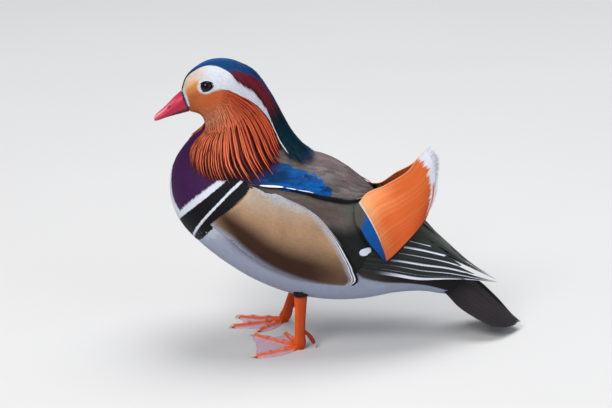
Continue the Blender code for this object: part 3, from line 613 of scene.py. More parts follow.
class Plumage:
    """Vanes of one piece, gathered layer by layer; a side's are built on the left and mirrored."""

    def __init__(self, ground, seed, side=None, patch=0.003):
        self.ground = ground
        self.side = side
        self.luck = np.random.default_rng(seed + (side == "right"))
        self.patch = patch
        self.layers = []
        self.count = 0

    def jitter(self, like, amount):
        return self.luck.uniform(-amount, amount, np.shape(like))

    def lay(self, t, w, reach, half, height, paint, outline=ROUND_TIP, columns=3, camber=0.3, drift=0.0,
            bend=0.0, bake=None, ground=None, limit=None):
        """Vanes from roots (t, w), each reach long and twice half wide in the ground's own parameters.

        A vane's points are ground(t + reach * a, w + drift * a + bend * sin(pi a) + half * outline(a) * b),
        with a from root to tip and b from edge to edge. They stand height(t, w, a) over the ground, less
        camber times b squared. paint(place, t, w, a, b, luck) gives their colours. bake is a spot on the map
        for them all, or one for each.
        """
        ground = ground or self.ground
        a, width = np.array(outline).T[:, None, :, None]
        b = np.linspace(-1, 1, columns)[None, None, :]
        shape = np.shape(np.atleast_1d(t))
        t, w, reach, half, drift, bend = (
            np.broadcast_to(v, shape)[:, None, None] for v in (t, w, reach, half, drift, bend)
        )
        along = t + reach * a + 0 * b
        along = along if limit is None else np.minimum(along, limit)
        across = w + drift * a + bend * np.sin(np.pi * a) + half * width * b
        luck = self.luck.uniform(0, 1, t.shape)
        rise = height(along, across, a) - camber * b * b * width + UNEVEN * (luck - 0.5)
        points = ground.place(along, across, rise)
        place = ground.at(along, across)
        tint = np.broadcast_to(paint(place, along, across, a, b, luck), points.shape)
        flat = points.shape[:3] + (2,)
        vane = np.broadcast_to(stacked((b + 1) / 2, a), flat)
        if bake is None:
            root = place[:, :1, columns // 2:columns // 2 + 1]
            root = coat_map(root[..., 0], (root[..., 1] + 180) % 360 - 180)
        else:
            root = np.atleast_2d(bake)[:, None, None]
        spot = stacked(b * self.patch / 2, (a - 0.5) * self.patch)
        island = np.broadcast_to(root + spot, flat)
        lie = stacked(along, across)
        faces = grid_faces(len(outline), columns, len(points), self.count)
        self.count += points[..., 0].size
        self.layers.append([v.reshape(-1, v.shape[-1]) for v in (points, tint, island, vane, lie)] + [faces])

    def spread_island(self):
        """Gives the last layer's islands the whole height of the map."""
        island, vane = self.layers[-1][2:4]
        self.layers[-1][2] = stacked(island[:, 0], 0.02 + 0.96 * vane[:, 1])

    def build(self, name, finish, slot, *nodes):
        """The piece of all layers. The side's name is added to the piece's and the nodes' names."""
        points, tint, island, vane, lie, faces = (np.concatenate(part) for part in zip(*self.layers))
        ending = f"_{self.side}" if self.side else ""
        sign = SIDES[self.side] if self.side else 1.0
        if sign < 0:
            island = island * np.array([-1, 1]) + np.array([1, 0])
        maps = {"OFBake": island, "vane": vane, "lie": lie}
        made = new_piece(name + ending, points, faces, tint, maps, finish, sign)
        return hand_over(made, slot, *(node + ending for node in nodes))


def rows_on(columns, first, last, step):
    """Roots on the form at even turns, staggered in rows a step apart along each turn.

    first and last are stations, and step(station, degrees) is in millimetres. The distance along the
    form is summed in steps of its own size, and a root stands wherever that sum passes a whole number.
    """
    stations = np.linspace(first, last, 400)
    degrees = (np.arange(columns) + 0.5) * 360 / columns - 180
    grid = FORM.place(stations[:, None], degrees[None])
    length = np.linalg.norm(np.diff(grid, axis=0), axis=-1)
    middle = (stations[1:] + stations[:-1])[:, None] / 2
    count = np.concatenate([np.zeros((1, columns)), np.cumsum(length / step(middle, degrees[None]), axis=0)])
    t, w = [], []
    for number, turn in enumerate(degrees):
        whole = np.arange(0.3 + 0.5 * (number % 2), count[-1, number], 1.0)
        t.append(np.interp(whole, count[:, number], stations))
        w.append(np.full(len(whole), turn))
    return np.concatenate(t), np.concatenate(w)


def staggered(rows, columns, luck, loose=0.25):
    """Roots on a patch: rows of t, columns of w, each second column half a row on."""
    i, j = np.meshgrid(np.arange(rows), np.arange(columns), indexing="ij")
    t = (i + 0.5 * (j % 2) + luck.uniform(-loose, loose, i.shape)) / rows
    w = (j + 0.5 + luck.uniform(-loose, loose, i.shape)) / columns
    return t.ravel(), w.ravel()


def by_root(t, w):
    """Roots in the order of t, so that each vane covers the ones before it."""
    order = np.argsort(t)
    return t[order], w[order]


def finer(outline, count, power):
    """An outline with more points, closer together towards the tip."""
    share = np.linspace(0, 1, count) ** power
    return tuple(zip(share, edge(outline, share)))


# Markings


def over(base, colour, mask):
    """A colour laid over another where the mask is 1."""
    mask = np.asarray(mask)[..., None]
    return base * (1 - mask) + colour * mask


def edge(points, at):
    """A border read between its points: from station to degrees, or from degrees to station."""
    return np.interp(at, *np.array(points, float).T)


CROWN_EDGE = (
    (0, 26), (0.5, 20), (1.1, 12), (1.64, 13.5), (2.48, 17), (3.3, 25), (4, 34), (4.7, 42), (5.45, 49),
    (5.95, 46), (6.4, 39), (6.9, 35.5), (7.6, 33.5), (8.2, 31.5), (9.2, 29.5), (10.4, 31), (11, 34),
)
WHITE_EDGE = (
    (0.3, 33), (0.7, 35.5), (1.12, 36.5), (1.7, 37), (2, 41), (2.15, 50), (2.22, 60), (2.3, 70),
    (2.6, 79), (3.28, 82.5), (3.72, 78.5), (4.22, 73), (4.74, 68), (5.32, 65.5), (5.86, 62.8),
    (6.32, 56.5), (6.66, 50), (7.02, 45.2), (7.58, 40.2), (8.16, 36.8), (8.7, 30), (10.7, 28),
)
# Degrees, station: where the face ends below the eye, and where the ruff covers the neck.
CHEEK_EDGE = (
    (60, 4.6), (70, 4.4), (78, 3.9), (86, 3.84), (96, 3.8), (107, 3.4), (118, 2.8), (128, 1.9), (180, 1.6),
)
HEM_EDGE = (
    (30, 10.2), (36, 10.2), (48, 10.8), (62, 11.1), (76, 11.3), (88, 11.2), (109, 10.8),
    (120, 10.4), (134, 9.9), (141, 9.3), (150, 8.5), (156, 7.6), (163, 6.2), (180, 6),
)
MAROON_EDGE = (
    (4.6, 36), (5.24, 29.5), (5.78, 24.8), (6.12, 16.8), (6.54, 12.5), (7.06, 11), (8.02, 8.2), (8.6, 5),
)
BACK_EDGE = (
    (10, 62), (11.3, 72), (12.2, 70), (13.1, 66), (14.6, 64), (15.3, 65), (16, 69), (16.6, 74),
    (17.2, 81), (17.8, 91), (18.3, 97), (19.4, 101), (20.4, 105), (22, 113),
)
FLANK_LOW_EDGE = ((12.2, 112), (12.9, 121), (14.2, 123), (15.5, 122), (16.6, 118), (17.4, 112), (18.3, 106))
WEDGE = ((10.4, 0), (10.7, 4), (11.1, 9), (11.5, 14), (11.9, 20), (12.3, 28), (12.7, 40), (13, 60))
# Edges of the breast's bars: degrees, station.
BAR_FIRST = ((79, 10.3), (94.8, 10.72), (108, 11.13), (123.8, 11.56), (145.2, 12.12), (180, 13))
BAR_FIRST_REAR = ((79, 10.55), (90, 10.94), (104.8, 11.4), (120.5, 11.83), (141, 12.34), (180, 13.3))
BAR_SECOND = ((70, 10.6), (78.5, 10.88), (92, 11.5), (106.8, 12.04), (121.2, 12.52), (150, 13.3))
BAR_SECOND_REAR = ((70, 10.8), (78.5, 11.08), (90, 11.63), (104, 12.13), (121.2, 12.66), (150, 13.45))
BAR_LAST = ((70, 11.15), (77, 11.42), (85, 11.92), (93, 12.32), (104.8, 12.58), (121.5, 12.92), (150, 13.65))
BLUE_TOP = (
    (10.9, 70), (11, 62), (11.08, 55), (11.32, 45.5), (11.8, 37.5), (12.86, 34), (13.78, 36.5), (14.55, 41),
)
BLUE_LOW = (
    (10.9, 70), (11.36, 67), (11.66, 63.5), (12.14, 59.5), (12.68, 56), (13.24, 52.8), (13.76, 50),
    (14.24, 46.5), (14.55, 41),
)


def eye_frame():
    """Unit directions at the eye: backward along the head, upward, and out of the head."""
    facing = FORM.place(*EYE_AT, 1.0) - FORM.place(*EYE_AT)
    back = np.array([1.0, 0, EYE_TILT])
    back = back - facing * (facing @ back)
    back /= np.linalg.norm(back)
    up = np.cross(back, facing)
    return back, up * np.sign(up[2]), facing


def head_tint(station, turn, c):
    """The face's and crown's colours. turn is in degrees from the middle of the crown, on either side."""
    crown, white = edge(CROWN_EDGE, station), edge(WHITE_EDGE, station)
    low = smooth(turn, 36, 92)
    tint = over(c.cream, c.buff, smooth(low, 0.0, 0.45))
    tint = over(tint, c.rufous, smooth(low, 0.5, 1.0) * 0.85)
    tint = over(tint, c.rufous, smooth(station, 2.3, 3.6))
    tint = over(tint, c.rufous * 0.8, smooth(turn, 125, 150))
    brow = over(c.white, c.cream * 0.9, 0.55 * smooth(3.4 - station, 0, 1.4))
    tint = over(tint, brow, smooth(white - turn, -3.0, 3.0))
    back, up, _ = eye_frame()
    away = FORM.place(station, turn) - FORM.place(*EYE_AT)
    ring = np.hypot(away @ back / 1.15, away @ up)
    tint = over(tint, c.white, smooth(7.0 - ring, 0, 1.8))
    base = smooth(0.66 - station - 0.003 * np.abs(turn - 70), 0, 0.2) * smooth(turn, 24, 34)
    tint = over(tint, c.white, base * smooth(112 - turn, 0, 10))
    tint = over(tint, c.crown * 0.25, smooth(0.2 - station, 0, 0.08))
    # gloss: where the painted violet-blue highlight lies on top of the crown.
    gloss = smooth(station, 1.6, 2.8) * smooth(5.5 - station, 0, 1.6) * smooth(16 - turn, 0, 14)
    blue = c.crown * (0.2 + 0.8 * smooth(station, 0.2, 2.6))[..., None]
    blue = over(blue, c.crown_highlight, gloss * 0.6)
    return over(tint, crest_tint(station, turn, c, blue), smooth(crown - turn, -1.0, 1.6))


def crest_tint(station, turn, c, blue):
    """The crest's colours: blue above, maroon at the side, green to the end."""
    band = smooth(turn - edge(MAROON_EDGE, station), -2.5, 2.5) * smooth(station, 4.5, 4.9)
    tint = over(blue, c.maroon, band)
    dark = smooth(np.abs(station - 8.6), 1.4, 0.0)
    tint = over(tint, c.nape, smooth(station, 7.4, 8.9))
    return tint * (1 - 0.35 * dark)[..., None]


def flank_tint(share, along, c):
    """The side's ground colour from its upper edge (share 0) to its lower one, and from front to rear."""
    tint = over(c.flank_pale, c.flank, smooth(share + 0.25 * along, 0.12, 0.5))
    low = smooth(share + 0.03 * smooth(along, 0.45, 0.9), 0.34, 0.7)
    low = low * smooth(along + 0.95 - 0.8 * share, 0.1, 0.55)
    tint = over(tint, c.flank_low, low * (1 - 0.3 * smooth(along, 0.7, 0.98)))
    return over(tint, c.belly * 0.9, smooth(share - 0.12 * along, 0.8, 1.02))


def body_tint(place, c):
    """The markings of skin and small feathers at (station, degrees)."""
    station, turn = place[..., 0], np.abs((place[..., 1] + 180) % 360 - 180)
    low, top = edge(FLANK_LOW_EDGE, station), edge(BACK_EDGE, station)
    share = (turn - top) / (low - top)
    # The back's brown, darkened from station 16.5 to 18 as painted shadow under the wing tip.
    dark = c.back * (0.75 - 0.35 * smooth(station, 16.5, 18.0))[..., None]
    tint = over(c.belly, dark, smooth(top - turn, -2, 2))
    tint = over(tint, c.tail * 0.8, smooth(station, 18.5, 20.0) * smooth(top - turn, -2, 2))
    rear = edge([row[::-1] for row in FLANK_REAR[3:]], turn)
    within = smooth(station, 11.1, 11.3) * smooth(rear - station, 0, 0.15) * smooth(share, -0.03, 0.03)
    tint = over(tint, flank_tint(share, (station - 12) / 6, c), within * smooth(1.15 - share, 0, 0.15))
    first = edge(BAR_FIRST, turn)
    tint = over(tint, c.breast, smooth(first - station, 0, 0.05) * smooth(station, 5.0, 5.6))
    side = {"white": smooth(turn, 80, 84), "black": smooth(turn, 58, 62)}
    bars = (
        (BAR_FIRST, BAR_FIRST_REAR, "white"),
        (BAR_FIRST_REAR, BAR_SECOND, "black"),
        (BAR_SECOND, BAR_SECOND_REAR, "white"),
        (BAR_SECOND_REAR, BAR_LAST, "black"),
    )
    for front, rear, name in bars:
        behind, before = station - edge(front, turn), edge(rear, turn) - station
        bar = smooth(behind, -0.03, 0.03) * smooth(before, -0.03, 0.03)
        tint = over(tint, vars(c)[name], bar * side[name] * smooth(168 - turn, 0, 12))
    wedge = smooth(turn - 180 + edge(WEDGE, station), -1.5, 1.5) * smooth(station, 10.2, 10.5)
    tint = over(tint, c.white, wedge * smooth(14.4 - station, 0, 2.2))
    # Under the ruff's hem the skin is painted dark as shadow, with breast purple near the throat and darker
    # rufous near the cheek.
    under = over(c.hackle_edge, c.breast, smooth(station, 7.2, 8.4) * smooth(turn, 130, 144))
    under = over(under, c.rufous * 0.7, smooth(turn, 126, 140) * smooth(6.5 - station, 0, 2.5))
    tint = over(tint, under, smooth(edge(HEM_EDGE, turn) - station, -0.1, 0.1))
    beyond = 0.9 + 0.8 * smooth(104 - turn, 0, 20)
    face = smooth(edge(CHEEK_EDGE, turn) + beyond - station, 0, 0.3)
    brow = smooth(np.maximum(edge(WHITE_EDGE, station), edge(CROWN_EDGE, station)) - turn, -1, 1.5)
    return over(tint, head_tint(station, turn, c), np.maximum(face, brow * smooth(11.0 - station, 0, 0.3)))


def blue_share(station, turn):
    """1 in the shoulder's blue patch."""
    turn = np.abs(turn)
    below, above = turn - edge(BLUE_TOP, station), edge(BLUE_LOW, station) - turn
    inside = smooth(below, -2.0, 0.5) * smooth(above, -2.5, -1.0)
    return inside * smooth(station, 10.8, 11.1) * smooth(14.75 - station, 0, 0.1)


def scapular_tint(place, c, a):
    """Olive brown, greener behind the blue feathers, which are dark at their roots and pale at their tips."""
    station, turn = place[..., 0], np.abs(place[..., 1])
    middle = place[:, -4:-3, place.shape[2] // 2:place.shape[2] // 2 + 1]
    own_station, own_turn = middle[..., 0], np.abs(middle[..., 1])

    def glow(centre, degrees, long, wide):
        return np.exp(-(((station - centre) / long) ** 2) - ((turn - degrees) / wide) ** 2)

    green = glow(14.2, 43, 0.9, 9) + 0.5 * glow(12.2, 33, 0.7, 6)
    tint = over(c.back, c.green, 0.75 * unit(green))
    dusky = c.back * (1.12, 0.95, 1.02) * (1 - 0.34 * smooth(own_station, 13.2, 16.0))[..., None]
    tint = over(tint, dusky, 0.8 * smooth(26 - own_turn, 0, 14))
    sheen = over(c.azure * (0.3, 0.42, 0.4), c.azure, smooth(a, 0.35, 0.7))
    sheen = over(sheen, c.azure * 1.25 + 0.01, 0.35 * smooth(a, 0.7, 0.97))
    tint = over(tint, sheen, blue_share(own_station, own_turn))
    # In front of the ruff's hem the shoulder is darkened as painted shadow under the ruff.
    return over(tint, c.hackle_edge * 0.7, smooth(edge(HEM_EDGE, turn) + 0.03 - station, -0.05, 0.05))


# Shaders


class Value:
    """A socket's number or colour, which Python's own signs work on."""

    def __init__(self, shader, socket):
        self.shader = shader
        self.socket = socket

    def maths(self, operation, *others):
        return self.shader.maths(operation, self, *others)

    def __add__(self, other):
        return self.maths("ADD", other)

    def __sub__(self, other):
        return self.maths("SUBTRACT", other)

    def __rsub__(self, other):
        return self.shader.maths("SUBTRACT", other, self)

    def __mul__(self, other):
        return self.maths("MULTIPLY", other)

    def __truediv__(self, other):
        return self.maths("DIVIDE", other)

    def __abs__(self):
        return self.maths("ABSOLUTE")

    __radd__ = __add__
    __rmul__ = __mul__


class Shader:
    """A material made of nodes, around one Principled surface."""

    def __init__(self, name, **constants):
        self.material = bpy.data.materials.new(name)
        self.material.use_nodes = True
        self.tree = self.material.node_tree
        self.surface = self.tree.nodes["Principled BSDF"]
        for socket, value in constants.items():
            self.socket(socket).default_value = value

    def socket(self, name):
        return self.surface.inputs[name.replace("_", " ").title().replace("Ior", "IOR")]

    def node(self, kind, settings=(), inputs=(), output=0):
        made = self.tree.nodes.new(kind)
        for key, value in dict(settings).items():
            setattr(made, key, value)
        for key, value in dict(inputs).items():
            if isinstance(value, Value):
                self.tree.links.new(value.socket, made.inputs[key])
            else:
                made.inputs[key].default_value = value
        return Value(self, made.outputs[output])

    def maths(self, operation, *values, clamp=False):
        settings = {"operation": operation, "use_clamp": clamp}
        return self.node("ShaderNodeMath", settings, dict(enumerate(values)))

    def clamped(self, operation, *values):
        return self.maths(operation, *values, clamp=True)

    def colour(self, name="tint"):
        return self.node("ShaderNodeAttribute", {"attribute_name": name}, output="Color")

    def split(self, value):
        made = self.node("ShaderNodeSeparateXYZ", (), {0: value})
        return made, Value(self, made.socket.node.outputs[1])

    def map(self, name):
        return self.split(self.node("ShaderNodeUVMap", {"uv_map": name}))

    def noise(self, scale, detail=2.0, where=None):
        where = where or self.node("ShaderNodeTexCoord", output="Object")
        return self.node("ShaderNodeTexNoise", (), {"Vector": where, "Scale": scale, "Detail": detail}, "Fac")

    def scaled(self, colour, factor):
        return self.node("ShaderNodeVectorMath", {"operation": "SCALE"}, {0: colour, "Scale": factor})

    def mix(self, factor, first, second):
        second = second if isinstance(second, Value) else (*second, 1.0)
        return self.node("ShaderNodeMix", {"data_type": "RGBA"}, {0: factor, 6: first, 7: second}, 2)

    def band(self, value, low, high, soft):
        """1 between two values, falling to 0 over a soft width."""
        return self.clamped("DIVIDE", value - low, soft) * self.clamped("DIVIDE", high - value, soft)

    def finish(self, height=None, strength=0.4, distance=0.0003, **inputs):
        if height is not None:
            inputs["normal"] = self.node(
                "ShaderNodeBump", (), {"Strength": strength, "Distance": distance, "Height": height}
            )
        for socket, value in inputs.items():
            self.tree.links.new(value.socket, self.socket(socket))
        return self.material


def feather_finish(name, barbs=16.0, slant=9.0, fine=0.06, mottle=0.16, relief=0.35, cloud=0.0, **constants):
    """Feathers: the tint, varied by barb, by a fine noise and by broad clouds, with the barbs raised."""
    usual = {"roughness": 0.62, "sheen_weight": 0.02, "specular_ior_level": 0.14}
    shader = Shader(name, **{**usual, **constants})
    across, along = shader.map("vane")
    side = abs(across - 0.5)
    barb = ((along * barbs + side * slant) * math.tau).maths("SINE")
    grain = shader.noise(420.0, 3.0)
    colour = shader.scaled(shader.colour(), 1 + barb * fine + (grain - 0.5) * mottle)
    if cloud:
        colour = shader.scaled(colour, 1 + (shader.noise(70.0, 3.0) - 0.5) * 2 * cloud)
    return shader.finish(barb * 0.5 - side * 1.2, relief, 0.0003, base_color=colour)


def breast_finish(c):
    """Purple feathers with the two white and two black bars drawn over them between smooth lines."""
    shader = Shader("breast_feathers", roughness=0.55, specular_ior_level=0.14)
    across, along = shader.map("vane")
    station, turn = shader.map("lie")
    turn = abs(turn)
    barb = ((along * 7 + abs(across - 0.5) * 9.0) * math.tau).maths("SINE")
    station = station + (shader.noise(520.0, 3.0) - 0.5) * 0.1

    def line(points):
        degrees, stations = np.array([row for row in points if 69 < row[0] < 151]).T
        square, slope, start = np.polyfit(degrees, stations, 2)
        return (turn * square + slope) * turn + start

    colour = shader.colour()
    bars = (  # edges, how far past the rear one, where it starts beside the shoulder, colour
        (BAR_FIRST, BAR_LAST, 0.14, 58.0, "black"),
        (BAR_FIRST, BAR_FIRST_REAR, 0.0, 80.0, "white"),
        (BAR_SECOND, BAR_SECOND_REAR, 0.0, 76.0, "white"),
    )
    for front, rear, past, first, name in bars:
        bar = shader.band(station, line(front), line(rear) + past, 0.04)
        bar = bar * shader.band(turn, first, 166.0, 3.0)
        if name == "white":
            bar = bar * shader.clamped("DIVIDE", station - line(HEM_EDGE) + 0.25, 0.1)
        colour = shader.mix(bar, colour, vars(c)[name])
    colour = shader.scaled(colour, 1 + barb * 0.05 + (shader.noise(420.0, 3.0) - 0.5) * 0.25)
    return shader.finish(barb * 0.5 - abs(across - 0.5) * 1.2, 0.2, 0.0003, base_color=colour)


def flank_finish(c):
    """Buff feathers with fine dark waves that run with the rear edge, which is barred black and white."""
    shader = Shader("flank_feathers", roughness=0.68, specular_ior_level=0.12)
    along, across = shader.map("lie")
    left = along * 100  # millimetres before the rear edge
    grain = shader.noise(140.0, 2.0)
    rear = shader.clamped("SUBTRACT", 1.0, (left - 5.0) / (9.0 - across * 5.0))
    top = shader.clamped("SUBTRACT", 1.0, across * 9.0)
    top = top * shader.clamped("SUBTRACT", 1.0, (left - 28.0) / 16.0)
    near = rear.maths("MAXIMUM", top)
    busy = rear.maths("MAXIMUM", top * shader.clamped("DIVIDE", 64.0 - left, 18.0))
    wave = ((left / 1.15 + grain * 1.2) * math.tau).maths("SINE")
    lines = shader.clamped("MULTIPLY", wave + 0.1, 1.6)
    colour = shader.mix(near * 0.8, shader.colour(), c.white * 0.9)
    colour = shader.mix(lines * (busy * 0.66 + 0.16), colour, c.black + c.flank_low * 0.2)
    patches = shader.noise(60.0, 3.0) * 0.5 - 0.2
    colour = shader.scaled(colour, (shader.noise(500.0, 3.0) - 0.5) * 0.3 + 1.0 + patches)
    strength = shader.clamped("MULTIPLY", across - 0.12, 5.0)
    bars = ((5.0, 6.0, "white"), (3.9, 5.0, "black"), (2.4, 4.0, "white"), (-9.0, 2.5, "black"))
    for low, high, name in bars:
        colour = shader.mix(shader.band(left, low, high, 0.3) * strength, colour, vars(c)[name])
    return shader.finish(lines * -0.3, 0.12, 0.0002, base_color=colour)


# Pieces


def make_skin(c):
    """One skin from bill to tail: form(station, degrees) sunk by the coat's depth, closed at both ends."""
    stations = np.concatenate([np.linspace(0, 5, 110), np.linspace(5, LAST_STATION, 201)[1:]])[:, None]
    degrees = np.linspace(-180, 180, 201)[None]
    points = closed(FORM.place(stations, degrees, -BARE_DEPTH - COAT_DEPTH * smooth(stations, -0.2, 3.0)))
    rows = np.concatenate([stations[:1] - 0.05, stations, stations[-1:] + 0.05])
    place = stacked(np.clip(rows, 0, LAST_STATION), degrees)
    shader = Shader("skin", roughness=0.8, specular_ior_level=0.2)
    grain = shader.noise(700.0, 3.0)
    colour = shader.scaled(shader.colour(), 0.75 + grain * 0.3)
    finish = shader.finish(grain, 0.4, 0.0004, base_color=colour)
    # The skin carries the coat's markings at 0.8 of their brightness: painted shade between the feathers.
    shell("skin", points, body_tint(place, c) * 0.8, finish, "head_feathers",
          "head", "neck", "breast", "trunk", "rump", bake=coat_map(rows, degrees))


def small_feathers(name, seed, columns, first, last, step, length, keep, c, slot, finish, height, raised,
                   outline, width, uneven, stop=None):
    """Body feathers in staggered rows: roots by rows_on, each width times as wide as its column.

    Their reach is length steps. keep(station, turn) says where they grow, and stop(degrees) is the station
    that none reaches beyond. They stand height over the skin and raised more at their tips, and uneven is
    how much their tones differ.
    """
    coat = Plumage(FORM, seed)
    t, w = rows_on(columns, first, last, step)
    t = t + coat.jitter(t, 0.2) * step(t, w) / span(FORM, t, w)
    w = w + coat.jitter(w, 0.25) * 360 / columns
    chosen = keep(t, np.abs(w))
    t, w = t[chosen], w[chosen]
    reach = length * step(t, w) / span(FORM, t, w) * (1 + coat.jitter(t, 0.12))

    def paint(place, along, across, a, b, luck):
        loose = stacked(place[..., 0] + 0.06 * (luck - 0.5), place[..., 1])
        # shade: a random tone for each feather, with painted shade towards its root and at its edges.
        shade = 0.96 + uneven * (luck - 0.5) + 0.06 * a - 0.08 * b * b
        return body_tint(loose, c) * shade[..., None]

    def rise(along, across, a):
        return height * smooth(along, -0.3, 3.0) + 0.12 + raised * a**1.5

    drift = coat.jitter(w, 0.25) * 360 / columns
    limit = stop(w)[:, None, None] if stop else None
    coat.lay(t, w, reach, width * 360 / columns, rise, paint, outline, camber=0.25 * raised + 0.1,
             drift=drift, limit=limit)
    coat.build(name, finish, slot)


class DRAKE_OT_skin(bpy.types.Operator):
    """Make the skin that lies under the whole coat"""

    bl_idname = "drake.skin"
    bl_label = "Skin"

    def execute(self, context):
        make_skin(palette())
        return {"FINISHED"}


def off_the_eye(t, turn):
    """Whether a place lies outside the lids' ellipse."""
    back, up, _ = eye_frame()
    away = FORM.place(t, turn) - FORM.place(*EYE_AT)
    return (away @ back / (LID_LONG + 0.7)) ** 2 + (away @ up / (LID_HIGH + 0.7)) ** 2 > 1


class DRAKE_OT_small_feathers(bpy.types.Operator):
    """Lay the small feathers of face, breast and belly"""

    bl_idname = "drake.small_feathers"
    bl_label = "Small feathers"

    def execute(self, context):
        c, sizes = palette(), context.scene.drake_sizes

        def face_step(t, w):
            return sizes.face_feather * (1 + 0.14 * t)

        def on_face(t, turn):
            hidden = (t > 4.6) & (turn < edge(CROWN_EDGE, t) - 8) | (t > 7.4) & (turn > 60)
            hidden |= (t > 4.4) & (turn > edge(WHITE_EDGE, t) + 8) & (turn < 140)
            return off_the_eye(t, turn) & ~hidden

        small_feathers("face_feathers", 11, 190, 0.02, 8.6, face_step, 3.2, on_face, c, "head_feathers",
                       feather_finish("face_feathers", barbs=4, fine=0.03, roughness=0.7),
                       0.25, 0.2, FINE_TIP, 0.62, 0.14)

        def breast_step(t, w):
            return sizes.breast_feather * (1 + 0.03 * (t - 9))

        def on_breast(t, turn):
            hidden = (t < 10.2) & (turn < 120) | (t > 11.9) & (turn < 74) & (turn > 50)
            hidden |= (t > edge(BAR_LAST, turn) + 0.04) & (turn > 50) & (turn < 118)
            hidden |= (t > 13.6) | (t > 12.6) & (turn < 60)
            return ~hidden

        def to_last_bar(w):
            turn = np.abs(w)
            free = smooth(62 - turn, 0, 4) + smooth(turn, 122, 126)
            return edge(BAR_LAST, turn) + 0.03 + 9 * free

        small_feathers("breast_feathers", 12, 236, 6.0, 14.2, breast_step, 2.9, on_breast, c,
                       "breast_feathers", breast_finish(c), 0.5, 0.32, SILKY_TIP, 0.85, 0.16, to_last_bar)

        def belly_step(t, w):
            return sizes.belly_feather + 0 * (t + w)

        def on_belly(t, turn):
            return (t > 12.9) & (turn > np.minimum(edge(FLANK_LOW_EDGE, t), 112) - 14) | (t > 17.6)

        small_feathers("belly_feathers", 13, 170, 12.6, 21.95, belly_step, 3.4, on_belly, c, "belly_feathers",
                       feather_finish("belly_feathers", barbs=9, fine=0.03, mottle=0.08, roughness=0.75),
                       0.3, 0.35, FINE_TIP, 0.8, 0.09)
        return {"FINISHED"}


def make_hackles(side, c, count):
    """The ruff: hackles that fan from the cheek to the hem over a dark layer of painted shadow, pale near the
    cheek.

    Each bows towards the nape at its middle and droops forward at its tip, most half way round the ruff.
    """
    ground = Patch(RUFF_THROAT, RUFF_NAPE, CHEEK, RUFF_HEM)
    coat = Plumage(ground, 21, side, 0.006)
    finish = feather_finish("hackles", barbs=34, slant=5, fine=0.05, relief=0.25, roughness=0.5)

    def rise_of(level):
        def rise(along, across, a):
            body = 3.0 * unit(along) ** 1.2 * (0.25 + 0.75 * unit(across) ** 0.5)
            return 0.3 + level * smooth(along, 0.0, 0.35) + body + 0.4 * smooth(a, 0.85, 1.0)
        return rise

    def paint(place, along, across, a, b, luck):
        t = unit(along)
        top = smooth(across, 0.5, 0.95)
        pale = smooth(0.55 - t, 0, 0.4) * (1 - top)
        core = over(c.hackle, c.rufous, smooth(0.85 - t, 0, 0.6) * 0.3)
        core = over(core, c.hackle * (0.6, 0.45, 0.6), 0.75 * top * smooth(0.95 - t, 0, 0.5))
        core = over(core, c.breast * 0.6 + c.hackle_edge, 0.75 * pale * smooth(0.5 - across, 0, 0.3))
        # shaft: pale along each hackle's middle, the hackle's own pale shaft near the cheek and elsewhere a
        # painted highlight along its ridge.
        shaft = smooth(0.5 - np.abs(b), 0, 0.35)
        core = over(core, c.hackle_shaft, shaft * (0.3 + 0.6 * pale) * (1 - 0.75 * top))
        # rim: each hackle's edges are darkened as painted shadow between the strands.
        rim = smooth(np.abs(b), 0.34, 0.85) * (1 - 0.8 * smooth(0.12 + 0.3 * top - t, 0, 0.2))
        tint = over(core, c.hackle_edge, rim) * (0.74 + 0.4 * luck)[..., None]
        return over(tint, c.rufous, smooth(0.2 - along, 0, 0.17))

    # The bottom layer is painted shadow under the hackles.
    def dark(place, along, across, a, b, luck):
        tint = paint(place, along, across, a, b, luck)
        return over(tint, c.hackle_edge, 0.9 * smooth(along, 0.05, 0.35))

    layers = (  # colours, share of the hackles, shift in steps, root, reach, level, half width in steps
        (dark, 1.0, 0.75, -0.03, 0.97, 0.1, 0.7),
        (paint, 1.0, 0.25, -0.03, 1.01, 0.7, 0.47),
        (paint, 0.75, 0.5, -0.04, 0.84, 0.95, 0.36),
        (paint, 0.7, 0.1, -0.05, 0.6, 1.15, 0.34),
    )
    for colours, share, shift, root, reach, level, width in layers:
        many = int(count * share)
        w = (np.arange(many) + shift) / many + coat.jitter(np.zeros(many), 0.2 / many)
        tip = reach * (0.98 + coat.jitter(w, 0.035) + 0.05 * smooth(w, 0.4, 0.75))
        middle = np.sin(np.pi * unit(w))
        start = root + coat.jitter(w, 0.02)
        drift = coat.jitter(w, 0.35 / many) - 0.09 * middle * reach**2
        bend = coat.jitter(w, 0.35 / many) + 0.045 * middle
        coat.lay(start, w, tip, width / many, rise_of(level), colours, HACKLE_TIP, 7, 0.75, drift, bend)
    coat.build("hackles", finish, "ruff_feathers", "ruff")


